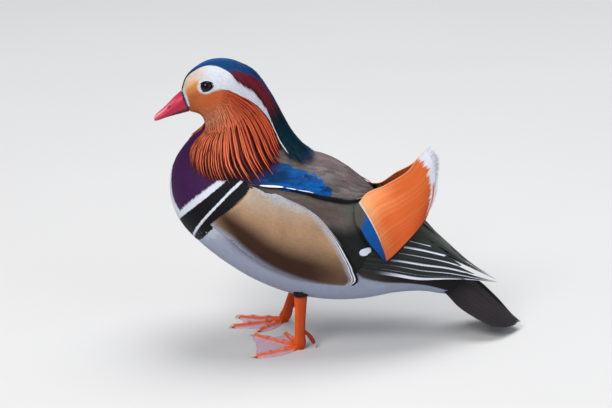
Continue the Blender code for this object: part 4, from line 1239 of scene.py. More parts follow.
def make_crest(c):
    """Long silky plumes from crown and nape, in layers, ending in a ragged brush."""
    ground = Patch(CREST_SIDE, [(s, -d) for s, d in CREST_SIDE], CREST_START, CREST_END)
    coat = Plumage(ground, 31, patch=0.005)
    finish = feather_finish("crest", barbs=50, slant=5, fine=0.1, mottle=0.3, roughness=0.36, metallic=0.25,
                            sheen_weight=0.0)

    def rise(along, across, a):
        middle = 1 - 0.55 * (2 * unit(across) - 1) ** 2
        return 0.5 + 6.2 * unit(along) ** 1.2 * middle * (0.55 + 0.45 * a) - 0.3 * (1 - a)

    def paint(place, along, across, a, b, luck):
        station, turn = place[..., 0], np.abs(place[..., 1])
        # gloss: where the painted violet-blue highlight lies on top of the crown.
        gloss = 0.5 * smooth(5.8 - station, 0, 1.4) * smooth(16 - turn, 0, 12)
        blue = over(c.crown, c.crown_highlight, gloss)
        tint = crest_tint(station, turn + 4 * (luck - 0.5), c, blue)
        tint = over(tint, c.crown * 0.8, smooth(station, 11.0, 12.0) * 0.6)
        # A random tone for each plume, with its edges darker as painted shade.
        return tint * ((0.6 + 0.75 * luck) * (1 - 0.35 * b * b))[..., None]

    layers = (  # first and last root, reach, how many
        (-0.03, 0.05, 0.55, 70),
        (0.0, 0.35, 0.6, 150),
        (0.3, 0.62, 0.42, 170),
        (0.5, 0.75, 0.3, 130),
        (0.66, 0.84, 0.24, 130),
    )
    for first, last, reach, many in layers:
        w = (np.arange(many) + 0.5) / many + coat.jitter(np.zeros(many), 0.4 / many)
        t = coat.luck.uniform(first, last, many)
        length = np.minimum(reach * (1 + coat.jitter(w, 0.15)), 1.05 + coat.jitter(w, 0.03) - t)
        coat.lay(t, w, length, 0.85 / many + 0.003, rise, paint, LANCE, 3, 0.25, coat.jitter(w, 0.02))

    def over_brow(along, across, a):
        return 1.6 + 0.9 * smooth(along, 4.4, 7.0) + 0.4 * a

    def spike(place, along, across, a, b, luck):
        tint = over(c.maroon * 0.7, c.nape * 0.5, smooth(along, 7.4, 8.6))
        return tint * (0.55 + 0.6 * luck)[..., None]

    for sign in SIDES.values():
        t = np.sort(coat.luck.uniform(4.4, 9.6, 110))
        w = edge(CROWN_EDGE, t) - 2.0 + coat.jitter(t, 1.2)
        reach = coat.luck.uniform(0.5, 0.9, len(t))
        drift = edge(CROWN_EDGE, t + reach) - edge(CROWN_EDGE, t) + coat.luck.uniform(1.0, 5.5, len(t))
        coat.lay(t, sign * w, reach, 0.75, over_brow, spike, FINE_TIP, 3, 0.15, sign * drift, ground=FORM)
    coat.build("crest_plumes", finish, "crest_feathers", "crest")


def make_brow(side, c):
    """The white plumes behind the eye, which taper between crest and ruff."""
    ground = Patch(BROW_TOP, BROW_LOW, (BROW_TOP[0], BROW_LOW[0]), (BROW_TOP[-1], BROW_LOW[-1]))
    coat = Plumage(ground, 41, side)
    finish = feather_finish("brow", barbs=14, fine=0.03, mottle=0.06, roughness=0.6)

    def rise(along, across, a):
        return 0.7 + 1.5 * unit(along) + 0.5 * a * a

    def paint(place, along, across, a, b, luck):
        # A random tone for each plume, with its edges darker as painted shade.
        return c.white * (0.88 + 0.12 * luck - 0.1 * b * b)[..., None]

    t, w = staggered(26, 20, coat.luck)
    coat.lay(t * 0.92, w, 0.14, 0.045, rise, paint, LANCE, 3, 0.2, coat.jitter(w, 0.03))

    def low(along, across, a):
        return 2.4 + 0.8 * a

    t = np.linspace(8.1, 9.9, 16)
    w = 35.4 - (t - 8.1) * 1.3 + coat.jitter(t, 0.3)
    coat.lay(t, w, 0.8, 0.5, low, paint, LANCE, 3, 0.15, -1.2, ground=FORM)
    coat.build("brow", finish, "head_feathers")


class DRAKE_OT_head_plumes(bpy.types.Operator):
    """Lay the hackles of the ruff, the crest and the white brow"""

    bl_idname = "drake.head_plumes"
    bl_label = "Ruff, crest and brow"

    def execute(self, context):
        c = palette()
        for side in SIDES:
            make_hackles(side, c, context.scene.drake_sizes.hackles)
            make_brow(side, c)
        make_crest(c)
        return {"FINISHED"}


def make_flank(side, c):
    """The side: buff feathers whose tips reach towards the barred rear edge."""
    ground = Patch(FLANK_TOP, FLANK_LOW, FLANK_FRONT, FLANK_REAR, None)
    coat = Plumage(ground, 51, side)

    def rise(along, across, a):
        body = 2.7 * unit(along) ** 0.6 * unit(1 - across) ** 0.7
        rear = 1.8 * smooth(along, 0.6, 1.0) * smooth(across, 0.1, 0.5) * smooth(1 - across, 0, 0.3)
        return 0.45 + body + rear + 0.3 * a**2 - 0.5 * smooth(0.08 - along, 0, 0.07)

    def paint(place, along, across, a, b, luck):
        ahead = edge(BAR_LAST, place[..., 1]) - place[..., 0]
        tint = over(flank_tint(across, along, c), c.black, smooth(ahead, -0.04, 0.02))
        return tint * (0.97 + 0.06 * luck)[..., None]

    t, w = staggered(40, 36, coat.luck)
    t = t * 1.02 - 0.05
    reach = FLANK_FEATHER / span(ground, t, w)
    coat.lay(t, w, reach, 0.026, rise, paint, BROAD_TIP, 5, 0.15, coat.jitter(w, 0.006), limit=1.0)
    lie = coat.layers[0][4]
    length = span(ground, lie[:, 0], lie[:, 1])
    coat.layers[0][4] = stacked((1 - lie[:, 0]) * length / 100, lie[:, 1])
    coat.build("flank_feathers", flank_finish(c), "flank_feathers", "flank")


def make_scapulars(side, c):
    """The shoulder's large feathers, from the middle of the back to the black hem with its white slivers."""
    ground = Patch(SCAPULAR_MIDDLE, SCAPULAR_HEM, SCAPULAR_START, SCAPULAR_END)
    coat = Plumage(ground, 61, side)
    finish = feather_finish("scapulars", barbs=30, slant=9, fine=0.03, mottle=0.3, relief=0.12, cloud=0.55,
                            specular_ior_level=0.08)

    def rise(along, across, a):
        t, w = unit(along), unit(across)
        crown = 1.0 + 3.0 * np.sin(np.pi * t) ** 0.7
        return 0.9 + crown * (1 - w**2.2) + 1.2 * w + 0.35 * a**2

    def paint(place, along, across, a, b, luck):
        rim = smooth(np.maximum(np.abs(b), a), 0.86, 1.0)
        tint = scapular_tint(place, c, a) * (0.86 + 0.42 * luck)[..., None]
        # Each feather is darker towards its root and its lower edge as painted shade, and a little darker at
        # its rims.
        return tint * (1.0 - 0.1 * rim - 0.22 * smooth(0.75 - a, 0, 0.6) - 0.1 * b)[..., None]

    t, w = staggered(8, 7, coat.luck, 0.2)
    t, w = by_root(t - 0.24, w * 0.96)
    coat.lay(t, w, 0.48, np.minimum(0.11, 0.98 - w), rise, paint, BROAD_TIP, 9, 0.25, coat.jitter(w, 0.02),
             limit=1.01)
    t, w = staggered(15, 9, coat.luck, 0.3)
    t = np.sort(t)
    places = ground.at(t + 0.08, w)
    chosen = blue_share(places[:, 0], places[:, 1]) > 0.5
    t, w = t[chosen], w[chosen]

    def small(along, across, a):
        return rise(along, across, a) + 0.25

    def azure(place, along, across, a, b, luck):
        tint = over(c.azure * (1, 0.45, 0.35), c.azure, smooth(a + 0.4 * luck, 0.3, 1.0))
        return tint * (0.62 + 0.5 * luck)[..., None]

    coat.lay(t, w, 0.16, 0.062, small, azure, BROAD_TIP, 7, 0.2, coat.jitter(w, 0.01))

    def border(along, across, a):
        return 3.2 + 0.3 * a + 1.2 * unit(along)

    def fringe(along, across, a):
        return border(along, across, a) + 0.35

    def black(place, along, across, a, b, luck):
        return c.black * (0.8 + 0.5 * luck)[..., None]

    def white(place, along, across, a, b, luck):
        return c.white * (0.9 + 0.1 * luck)[..., None]

    t = np.linspace(0.0, 0.88, 18)
    half = 0.014 + 0.046 * smooth(t, 0.12, 0.6)
    coat.lay(t, 1.0 + half * 0.35, np.minimum(0.24, 1.0 - t), half, border, black, LANCE, 5, 0.6)
    t, reach = np.array(WHITE_SLIVERS).T
    half = 0.01 + 0.011 * smooth(0.14 - t, 0, 0.1)
    coat.lay(t, 0.985 - 0.02 * smooth(t, 0.2, 0.75), reach, half, fringe, white, LANCE, 5, 0.2)
    coat.build("scapular_feathers", finish, "back_feathers", "scapulars")


def make_coverts(side, c):
    """The closed wing: rows of large smooth coverts that grow longer towards the sail."""
    ground = Patch(WING_TOP, WING_LOW, WING_FRONT, WING_REAR)
    coat = Plumage(ground, 71, side)
    finish = feather_finish("coverts", barbs=30, slant=9, fine=0.02, mottle=0.3, relief=0.12, cloud=0.5)

    def rise(along, across, a):
        return 0.9 + 2.2 * unit(along) + 0.35 * a**2

    def paint(place, along, across, a, b, luck):
        rim = smooth(np.maximum(np.abs(b), a), 0.88, 1.0)
        patch = smooth(along - 0.35 * across, 0.45, 0.8) * smooth(0.85 - across, 0, 0.3)
        tint = over(c.wing, c.green, 0.85 * patch)
        tint = over(tint, c.quill * 0.5, smooth(along + 0.5 * across, 1.0, 1.2))
        # Each covert is darker towards its root as painted shade, and a little darker at its rims.
        return tint * (0.92 + 0.26 * luck - 0.08 * rim - 0.2 * smooth(0.75 - a, 0, 0.6))[..., None]

    t, w = staggered(8, 6, coat.luck, 0.16)
    t, w = by_root(t * 1.02 - 0.2, w * 0.97)
    coat.lay(t, w, 0.42, np.minimum(0.125, 1.01 - w), rise, paint, BROAD_TIP, 9, 0.25, coat.jitter(w, 0.01),
             limit=1.02)
    coat.build("wing_coverts", finish, "wing_feathers", "wing")


class DRAKE_OT_body_feathers(bpy.types.Operator):
    """Lay the feathers of flanks, shoulders and closed wings"""

    bl_idname = "drake.body_feathers"
    bl_label = "Flanks, shoulders and wings"

    def execute(self, context):
        c = palette()
        for side in SIDES:
            make_flank(side, c)
            make_scapulars(side, c)
            make_coverts(side, c)
        return {"FINISHED"}


def lean(points):
    """The far sail: the near one turned back about its middle, moved a little and mirrored later."""
    cos, sin = math.cos(math.radians(FAR_SAIL_LEAN)), math.sin(math.radians(FAR_SAIL_LEAN))
    turn = np.array([[cos, 0, sin], [0, 1, 0], [-sin, 0, cos]])
    pivot = np.array(FAR_SAIL_PIVOT)
    moved = (points - pivot) @ turn.T + pivot + np.array(FAR_SAIL_SHIFT)
    front = smooth(92 - moved[:, 0], 0, 24)
    moved[:, 1] -= FAR_SAIL_OUT * front
    moved[:, 2] -= FAR_SAIL_DROP * front * smooth(moved[:, 2], 121, 137)
    return moved


def sail_finish(side):
    """Orange barbs with long streaks that run with them."""
    shader = Shader(f"sail_{side}", roughness=0.55, specular_ior_level=0.14)
    barb = (shader.map("vane")[1] * SAIL_BARBS * math.tau).maths("SINE")
    vane = shader.node("ShaderNodeUVMap", {"uv_map": "vane"})
    long = shader.node("ShaderNodeMapping", (), {0: vane, 3: (0.35, 9.0, 1.0)})
    streaks = shader.noise(9.0, 4.0, long)
    colour = shader.scaled(shader.colour(), 0.72 + streaks * 0.5 + barb * 0.035)
    return shader.finish(barb * 0.5 + streaks, 0.3, 0.0003, base_color=colour)


def wander(at, luck, count, most):
    """Random values up to most at even places from 0 to 1, read between them."""
    return np.interp(at, np.linspace(0, 1, count), luck.uniform(0, most, count))


def sail_tint(t, w, luck, c):
    """The sail's orange, paler near the shaft's foot, partly in pale streaks and partly as a painted
    highlight, darker towards its lower rear as painted shade, and its white rim, fine orange line and black
    end.
    """
    tone = wander(t, luck, 40, 1)
    pale = smooth(0.5 - t, 0, 0.45) * smooth(0.62 - w, 0, 0.5) * 0.75 + 0.35 * smooth(0.25 - w, 0, 0.2)
    tint = over(c.sail, c.sail_pale, unit(pale + 0.3 * (tone - 0.5)))
    # Darker towards the lower rear: painted shade.
    tint = over(tint, c.sail * (0.72, 0.55, 0.45), 0.7 * smooth(t + 0.25 * w, 0.45, 1.05))
    ragged = 0.04 * tone + wander(t, luck, 120, 0.05)
    tint = over(tint, c.white, smooth(w, 0.90 - ragged, 0.93 - ragged) * smooth(0.93 - t, 0, 0.1))
    line = smooth(np.abs(w - 0.955 + 0.05 * t), 0.022, 0.012)
    tint = over(tint, c.sail, line * smooth(t, 0.42, 0.5) * smooth(0.9 - t, 0, 0.05))
    tint = over(tint, c.sail_pale, smooth(0.02 - t, 0, 0.01) * 0.6)
    tint = over(tint, c.black, smooth(t + 0.3 * ragged * smooth(w, 0.1, 0.4), 0.966, 0.974))
    shaft = smooth(0.012 - w, 0, 0.006) * smooth(0.75 - t, 0, 0.3)
    return over(tint, c.white * (1, 0.9, 0.8), shaft)


def make_sail(side, c):
    """The raised vane: a ribbed sheet from its shaft to a frayed white fringe, with both faces.

    t runs along the shaft and w from it: the columns go out on one face and back on the other.
    """
    shaft = FORM.place(*curve(SHAFT, 40).T)
    top = np.concatenate([shaft[:1], SAIL_TOP])
    low = np.concatenate([shaft[-1:], SAIL_LOW, SAIL_FRINGE[-1:]])
    ground = sheet(shaft, np.concatenate([SAIL_TOP[-1:], SAIL_FRINGE]), top, low)
    luck = np.random.default_rng(81)
    rows, columns = SAIL_GRID
    t, w = np.meshgrid(np.linspace(0, 1, rows), np.linspace(0, 0.965, columns), indexing="ij")
    ribs = np.sin(t * SAIL_RIBS * math.tau) * 0.07 + np.sin(t * 9 + 2.0 * w) * 0.25 * w
    split = 0.4 * np.exp(-(((t - SAIL_SPLIT) / 0.006) ** 2)) * smooth(w, 0.6, 0.9)
    thick = 0.28 + 0.5 * np.exp(-((w / 0.04) ** 2))
    tint = sail_tint(t, w, luck, c)
    # The far sail's inner face lies in the near sail's shadow and is painted brighter towards its top:
    # painted light.
    shade = np.array([0.45, 0.6, 0.4]) if side == "right" else np.zeros(3)
    inner = tint * (1 + smooth(0.5 - t, 0, 0.35)[..., None] * shade)

    def around(near, far):
        return np.concatenate([near, far[:, ::-1], near[:, :1]], 1)

    points = around(ground.place(t, w, ribs - split + thick), ground.place(t, w, ribs - split - thick))
    ring = points.shape[1]
    vane = stacked(around(w, w), t[:, :1])
    bake = even_map(rows, ring, 0.73)
    faces = [grid_faces(rows, ring)]
    for row, turned in ((0, -1), (rows - 1, 1)):
        k = np.arange(columns - 1)
        a, b = row * ring + k, row * ring + 2 * columns - 1 - k
        faces.append(stacked(a, a + 1, b - 1, b)[:, ::turned])

    root = np.sort(luck.uniform(0.0, 0.93, SAIL_HAIRS))[:, None, None]
    along = np.array([0.0, 0.4, 0.75, 1.0])[None, :, None]
    across = np.array([-1.0, 0.0, 1.0])[None, None, :]
    long = luck.uniform(0.03, 0.08, SAIL_HAIRS)[:, None, None] * (1 + 0.6 * smooth(0.3 - root, 0, 0.2))
    long = long * (1.0 if side == "left" else FAR_FRINGE)
    bent = luck.uniform(-0.012, 0.012, SAIL_HAIRS)[:, None, None] * along**2
    hair_t = root + across * 0.0055 * (1 - 0.85 * along) + bent
    hair_w = 0.945 + long * along
    hair = ground.place(hair_t, hair_w, luck.uniform(-0.3, 0.5, SAIL_HAIRS)[:, None, None] * (0.4 + along))
    # The hairs are made brighter than the white, as painted light through the fringe.
    hair_tint = c.white * 1.1 * luck.uniform(0.85, 1.05, SAIL_HAIRS)[:, None, None, None] + 0 * hair
    hair_vane = stacked((across + 1) / 2, along, root)[..., :2]
    hair_bake = stacked(0.78 + 0.2 * along, root * 0.9 + 0.02 + 0.0008 * across)
    faces.append(grid_faces(4, 3, SAIL_HAIRS, points[..., 0].size))

    def joined(sail, hairs):
        return np.concatenate([v.reshape(-1, v.shape[-1]) for v in (sail, hairs)])

    points = joined(points, hair)
    points = points if side == "left" else lean(points)
    maps = {"OFBake": joined(bake, hair_bake), "vane": joined(vane, hair_vane)}
    tints = joined(around(tint, inner), hair_tint)
    made = new_piece(f"sail_vane_{side}", points, np.concatenate(faces), tints, maps, sail_finish(side),
                     SIDES[side])
    hand_over(made, "sail", f"sail_{side}")


def make_wing_band(side, c):
    """The outer web beside the sail's shaft, green then azure, and the white tip under it."""
    shaft = [row[:2] for row in SHAFT]
    ends = ((BAND_LOW[0], shaft[0]), (BAND_LOW[-1], shaft[-1]))
    coat = Plumage(Patch(BAND_LOW, shaft, *ends, None), 91, side, 0.3)
    finish = feather_finish("wing_band", barbs=60, slant=3, fine=0.04, mottle=0.16, relief=0.12, cloud=0.3)

    def rise(along, across, a):
        return 4.2 + 4.2 * unit(along) + 1.2 * across + 0.5 * np.sin(np.pi * unit(across))

    def paint(place, along, across, a, b, luck):
        tint = over((c.green + c.wing) * 0.5, c.azure, smooth(along + 0.1 * across, 0.3, 0.38))
        tint = over(tint, c.azure * (0.2, 0.4, 0.5), smooth(along, 0.6, 1.0) * 0.8)
        return over(tint, c.black, smooth(0.16 - across, 0, 0.05) * smooth(along, 0.22, 0.34))

    square = [(x, 1.0) for x in np.linspace(0, 1, 24)]
    coat.lay(0.0, 0.5, 1.0, 0.5, rise, paint, square, 21, 0.0, bake=(0.4, 0.5))

    def spot_rise(along, across, a):
        return 3.7 + 0.8 * a

    def oval(place, along, across, a, b, luck):
        return over(c.black, c.silver, smooth(a, 0.02, 0.1))

    turned = np.linspace(-1, 1, 11)
    coat.lay(0.22 * turned**2, 0.5 + 0.3 * turned, 1.0 - 0.5 * turned**2, 0.2, spot_rise, oval, LANCE, 5, 0.3,
             bake=(0.85, 0.5), ground=Slant(*WHITE_SPOT))
    coat.build("wing_band", finish, "wing_feathers")


def make_quills(side, c):
    """The folded flight feathers: a stack of vanes, the lower ones longer and with silver outer edges."""
    front = FORM.place(*np.array(TIP_FRONT).T)
    ridge, low = np.concatenate([front[:1], TIP_RIDGE]), np.concatenate([front[-1:], TIP_LOW])
    ground = sheet(ridge, low, front, np.stack([ridge[-1], low[-1]]))
    coat = Plumage(ground, 101, side, 0.07)
    finish = feather_finish("quills", barbs=70, slant=10, fine=0.04, mottle=0.1, relief=0.12, roughness=0.42)
    outline = finer(QUILL_TIP, 30, 0.8)
    for number, (w0, t1, w1, half, silver) in enumerate(QUILLS):

        def rise(along, across, a):
            level = 3.3 - 0.24 * number
            return 0.5 + level * (1 - 0.55 * unit(along)) * 0.42 - 0.5 * smooth(0.12 - a, 0, 0.12)

        def paint(place, along, across, a, b, luck):
            body = over(c.quill, c.green * 0.6, 0.6 * smooth(0.7 - across, 0, 0.5))
            every_second = (1 - silver) * (number % 2)
            body = over(body, c.wing * 0.8, 0.8 * smooth(0.3 - across, 0, 0.2) * every_second)
            # Each quill is darker on the side that lies under the one above it: painted shade.
            body = body * (0.8 + 0.4 * smooth(b, -1, 0.3))[..., None]
            strip = smooth(b, 0.38, 0.46) * smooth(0.98 - a, 0, 0.05) * smooth(along, 0.08, 0.3) * silver
            body = over(body, c.silver, strip)
            body = over(body, c.black, smooth(np.abs(b - 0.32), 0.2, 0.06) * silver * 0.9)
            return over(body, c.black, smooth(b, 0.8, 0.93) * (1 - silver) * 0.9)

        coat.lay(QUILL_ROOT, w0 - half, t1 - QUILL_ROOT, half, rise, paint, outline, 13, 0.55,
                 w1 - w0 + half * 0.6, bake=(0.04 + 0.078 * number, 0.5))
        coat.spread_island()
    coat.build("quill_stack", finish, "wing_quills", "wingtip")


def make_tail(c):
    """Tail feathers fanned as a roof, from the outermost below to the middle pair on top."""
    ridge, rim = curve(TAIL_RIDGE, EDGE_POINTS), curve(TAIL_EDGE, EDGE_POINTS)
    share = np.linspace(0, 1, 60)[None, :, None]
    grid = ridge[:, None] * (1 - share) + rim[:, None] * share
    grid[..., 2] += TAIL_BULGE * np.sin(np.pi * share[..., 0]) * np.linspace(1, 0.3, EDGE_POINTS)[:, None]
    ground = Surface(grid, (0, 0), (1, 1))
    finish = feather_finish("tail", barbs=60, slant=10, fine=0.05, mottle=0.14, relief=0.15, roughness=0.5)
    outline = finer(TAIL_FEATHER_TIP, 26, 0.85)

    def paint(place, along, across, a, b, luck):
        # The half of each feather that lies under the next is darkened as painted shade; its outer edge is
        # pale.
        tint = over(c.tail, c.black * 2, smooth(-b, -0.3, 0.5) * 0.55)
        tint = over(tint, c.tail * 2.0, smooth(b, 0.82, 0.97) * 0.6)
        return tint * (0.85 + 0.25 * luck)[..., None]

    for side in SIDES:
        coat = Plumage(ground, 111, side, 0.08)
        for number, tip in enumerate((0.93, 0.95, 0.97, 0.98, 0.99, 0.995, 1.0, 1.0)):

            def rise(along, across, a):
                return -0.4 + 0.16 * number * (1 - 0.5 * a)

            coat.lay(-0.1, 0.91 - 0.125 * number, tip + 0.1, 0.13, rise, paint, outline, 9, 0.35,
                     bake=(0.06 + 0.11 * number, 0.5))
            coat.spread_island()
        coat.build("tail_quills", finish, "tail_feathers")
    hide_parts("tail")


class DRAKE_OT_large_quills(bpy.types.Operator):
    """Make the sails, the bands beside them, the folded flight feathers and the tail"""

    bl_idname = "drake.large_quills"
    bl_label = "Sails, quills and tail"

    def execute(self, context):
        c = palette()
        for side in SIDES:
            make_sail(side, c)
            make_wing_band(side, c)
            make_quills(side, c)
        make_tail(c)
        return {"FINISHED"}


# Bill, eyes, legs


def horn_finish(name, wear, **constants):
    """Horn or bare skin: the tint with soft blotches and fine wrinkles."""
    shader = Shader(name, **constants)
    blotch = shader.noise(120.0, 3.0)
    wrinkle = shader.noise(900.0, 4.0)
    colour = shader.scaled(shader.colour(), 1 + (blotch - 0.5) * wear)
    return shader.finish(blotch + wrinkle * 0.6, 0.35, 0.0005, base_color=colour)


def make_bill(c):
    """Half ellipses along the bill: the upper one with nostrils and a nail, the lower one narrower."""
    finish = horn_finish("bill", 0.5, roughness=0.32, specular_ior_level=0.5, coat_weight=0.25,
                         coat_roughness=0.2)
    share = np.linspace(0, 1, 70)
    turn = np.linspace(0, math.pi, 61)[None]
    a, side = np.broadcast_arrays(share[:, None], np.abs(np.cos(turn)))
    for name, upper in (("bill_upper", True), ("bill_lower", False)):
        rows = smooth_rows(BILL, share * (1.0 if upper else LOWER_BILL_REACH) * (len(BILL) - 1))
        back, belly = rows[:, None, 0:2], rows[:, None, 2:4]
        upward = (back - belly) / np.linalg.norm(back - belly, axis=-1, keepdims=True)
        mouth = belly + GAPE * (back - belly) - (0 if upper else MOUTH_GAP) * upward
        arch = np.sin(turn)[..., None] ** (0.85 if upper else 0.9)
        middle = mouth + ((back if upper else belly) - mouth) * arch
        y = rows[:, 4:] * (1.0 if upper else 0.86) * np.cos(turn)
        points = stacked(middle[..., 0], y, middle[..., 1])
        # ridge: where the painted highlight lies along the side of the bill; the bill also pales towards its
        # tip.
        ridge = smooth(np.abs(side - 0.5), 0.3, 0.05) * smooth(a, 0.04, 0.5)
        tint = over(c.bill * 0.85, c.bill_pale, 0.5 * ridge + 0.3 * smooth(a, 0.4, 0.9))
        # Darker along the mouth's edge: painted shade in the crease between the halves.
        tint = over(tint, c.bill * 0.55, smooth(side, 0.86, 0.99) * 0.8)
        if upper:
            nostril = np.exp(-(((a - 0.34) / 0.075) ** 2) - (((side - 0.66) / 0.09) ** 2))
            points[..., 1] -= 0.9 * nostril * np.sign(y)
            points[..., 0] -= 0.25 * smooth(a, 0.84, 0.88)
            # The nostril's dark is painted shade in its hollow.
            tint = over(tint, c.bill * 0.12, smooth(nostril, 0.45, 0.8))
            tint = over(tint, c.nail, smooth(a, 0.8, 0.9) * smooth(0.85 - side, 0, 0.3))
            tint = over(tint, c.nail, smooth(a, 0.9, 0.95))
            tint = over(tint, c.black, smooth(0.02 - a, 0, 0.015) * 0.8)
        else:
            # The lower bill's sides are darkened as painted shade under the upper bill.
            tint = over(tint, c.bill * 0.22, 0.85 * smooth(side, 0.35, 0.8))
        points = closed(points)
        tint = np.concatenate([tint[:1], tint, tint[-1:]])
        roof = np.linspace(0, 1, 21)[1:, None]
        points = np.concatenate([points, points[:, -1:] * (1 - roof) + points[:, :1] * roof], 1)
        # The face that closes each half, seen in the mouth's gap, is at half brightness as painted shade.
        tint = np.concatenate([tint, np.repeat(tint[:, -1:], len(roof), 1) * 0.5], 1)
        shell(f"{name}_horn", points, tint, finish, "bill", name)


def make_eye(side, c):
    """A flattened ball with a clear bulge over the pupil."""
    back, up, facing = eye_frame()
    centre = FORM.place(*EYE_AT) - facing * EYE_SUNK
    polar, turn = np.meshgrid(np.linspace(0, math.pi, 41), np.linspace(0, math.tau, 65), indexing="ij")
    out = np.cos(polar) * (EYE_DEEP + 0.25 * np.exp(-((polar / PUPIL) ** 2)))
    points = centre + facing * out[..., None] + EYE_ACROSS * np.sin(polar)[..., None] * aimed(back, up, turn)
    tint = over(c.black * 0.2, c.iris * 0.8, smooth(polar, PUPIL, PUPIL + 0.06))
    tint = over(tint, c.black * 0.3, smooth(polar, 0.8, 1.0))
    shader = Shader(f"eye_{side}", roughness=0.06, specular_ior_level=0.22)
    finish = shader.finish(base_color=shader.scaled(shader.colour(), 0.8 + shader.noise(2500.0) * 0.4))
    shell(f"eyeball_{side}", points, tint, finish, "eye", f"eye_{side}", side=SIDES[side])


def make_lid(side, c):
    """The lids: a dark rolled rim round an almond opening, then feathered skin that sinks into the coat."""
    back, up, facing = eye_frame()
    turn, share = np.meshgrid(np.linspace(0, math.tau, 97), np.linspace(0, 1, 17), indexing="ij")
    corner = 0.55 * (np.abs(np.cos(turn)) ** 10)
    opening = 1 / np.hypot(np.cos(turn) / LID_LONG, np.sin(turn) / LID_HIGH) + corner
    ball = EYE_DEEP * np.sqrt(np.maximum(1 - (opening / EYE_ACROSS) ** 2, 0)) - EYE_SUNK
    level = np.maximum(ball + 0.1, -0.7)
    rim = unit(share / 0.5)
    beyond = unit((share - 0.5) / 0.5)
    radius = opening + LID_ROLL * (1 - np.cos(math.pi * rim)) + LID_SKIRT * beyond
    height = level + 0.45 * np.sin(math.pi * rim) + (-LID_SUNK - level) * smooth(beyond, -0.3, 1.0)
    points = FORM.place(*EYE_AT) + facing * height[..., None] + aimed(back, up, turn) * radius[..., None]
    tint = over(c.black + c.leg_dark * 0.05, c.white, smooth(share, 0.4, 0.55))
    bake = even_map(*turn.shape)[..., ::-1]
    finish = horn_finish(f"lid_{side}", 0.3, roughness=0.6)
    shell(f"eyelid_{side}", points, tint, finish, "head_feathers", bake=bake, side=SIDES[side])


class DRAKE_OT_face(bpy.types.Operator):
    """Make the bill, the eyes and their lids"""

    bl_idname = "drake.face"
    bl_label = "Bill and eyes"

    def execute(self, context):
        c = palette()
        make_bill(c)
        for side in SIDES:
            make_eye(side, c)
            make_lid(side, c)
        return {"FINISHED"}


def make_leg(side, c, finish):
    """The shank: rings along it, with scales in front and a swollen ankle, into a feathered thigh."""
    x, y = ANKLES[side]
    z = np.concatenate([[0.05, 0.05], np.linspace(0.3, SHANK_TOP, 160), [SHANK_TOP]])[:, None]
    rows = smooth_rows(TARSUS, np.interp(z[:, 0], [row[0] for row in TARSUS], range(len(TARSUS))))
    rows = rows * (1 - 0.14 * smooth(3.0 - z, 0, 3.0))
    body = np.ones(z.shape)
    rows[[0, -1]] = body[[0, -1]] = 0.0
    turn = np.linspace(0, math.tau, 41)[None]
    front = smooth(-np.cos(turn), 0.2, 0.8)
    ridges = np.abs(np.sin(z / SCUTE * math.pi))
    scales = ridges**0.5 * 0.28 * front + np.sin(z / SCUTE * math.tau) * np.sin(turn * 9) * 0.1 * (1 - front)
    joint = 0.7 * np.exp(-(((z - 6.5) / 4.0) ** 2))
    px = x + TARSUS_LEAN[side] * z + (rows[:, 1:2] * 0.92 + body * (scales + joint)) * np.cos(turn)
    py = y + (rows[:, 2:3] * 0.93 + body * (scales + joint * 0.6)) * np.sin(turn)
    points = stacked(px, py, z)
    # The shank's rear and sides are darkened as painted shade, and its top as painted shadow under the belly;
    # the front scales are darker in their grooves.
    tint = over(c.leg, c.leg_dark, 0.85 * smooth(np.cos(turn), -0.1, 0.9) + 0 * z)
    tint = over(tint, c.leg_dark * 0.8, 0.5 * smooth(np.abs(np.sin(turn)), 0.75, 1.0))
    tint = over(tint, c.leg_dark * 0.4, smooth(z, 46, 50))
    tint = over(tint, c.leg_dark, 0.45 * smooth(0.25 - ridges, 0, 0.2) * front)
    bake = stacked(0.01 + 0.98 * turn / math.tau, z / 60)
    shell(f"shank_{side}", points, tint, finish, "leg_skin", f"leg_{side}", bake=bake)


def make_thigh(side, c):
    """Short dark feathers, their brown partly painted shadow under the belly, that close round the top of the
    shank: rings that widen into the belly.
    """
    x, y = ANKLES[side]
    height = np.linspace(THIGH_TOP, THIGH_LOW, 40)[:, None]
    turn = np.linspace(0, math.tau, 61)[None]
    wide = 1 + 0.15 * smooth(height, THIGH_LOW, THIGH_TOP)
    px = x + TARSUS_LEAN[side] * height + THIGH_RADII[0] * wide * np.cos(turn)
    py = y + THIGH_RADII[1] * wide * np.sin(turn)
    ground = Surface(stacked(px, py, height), (0, 0), (1, 1), -1.0)
    coat = Plumage(ground, 121 + (side == "right"))
    finish = feather_finish(f"thigh_{side}", barbs=7, fine=0.04, mottle=0.2, relief=0.2, roughness=0.8)

    def rise(along, across, a):
        return 0.2 + 0.45 * a

    def paint(place, along, across, a, b, luck):
        # Dark brown, partly the feathers' own and partly painted shadow under the belly, with a random tone.
        return c.tail * (0.45 + 0.4 * luck)[..., None]

    t, w = staggered(9, 34, coat.luck)
    t = t * 0.8 - 0.1
    bake = stacked(0.01 + 0.98 * w, 0.1 + 0.8 * t)
    coat.lay(t, w, 0.3, 0.024, rise, paint, SILKY_TIP, 3, 0.2, coat.jitter(w, 0.01), bake=bake)
    coat.build(f"thigh_feathers_{side}", finish, "belly_feathers")


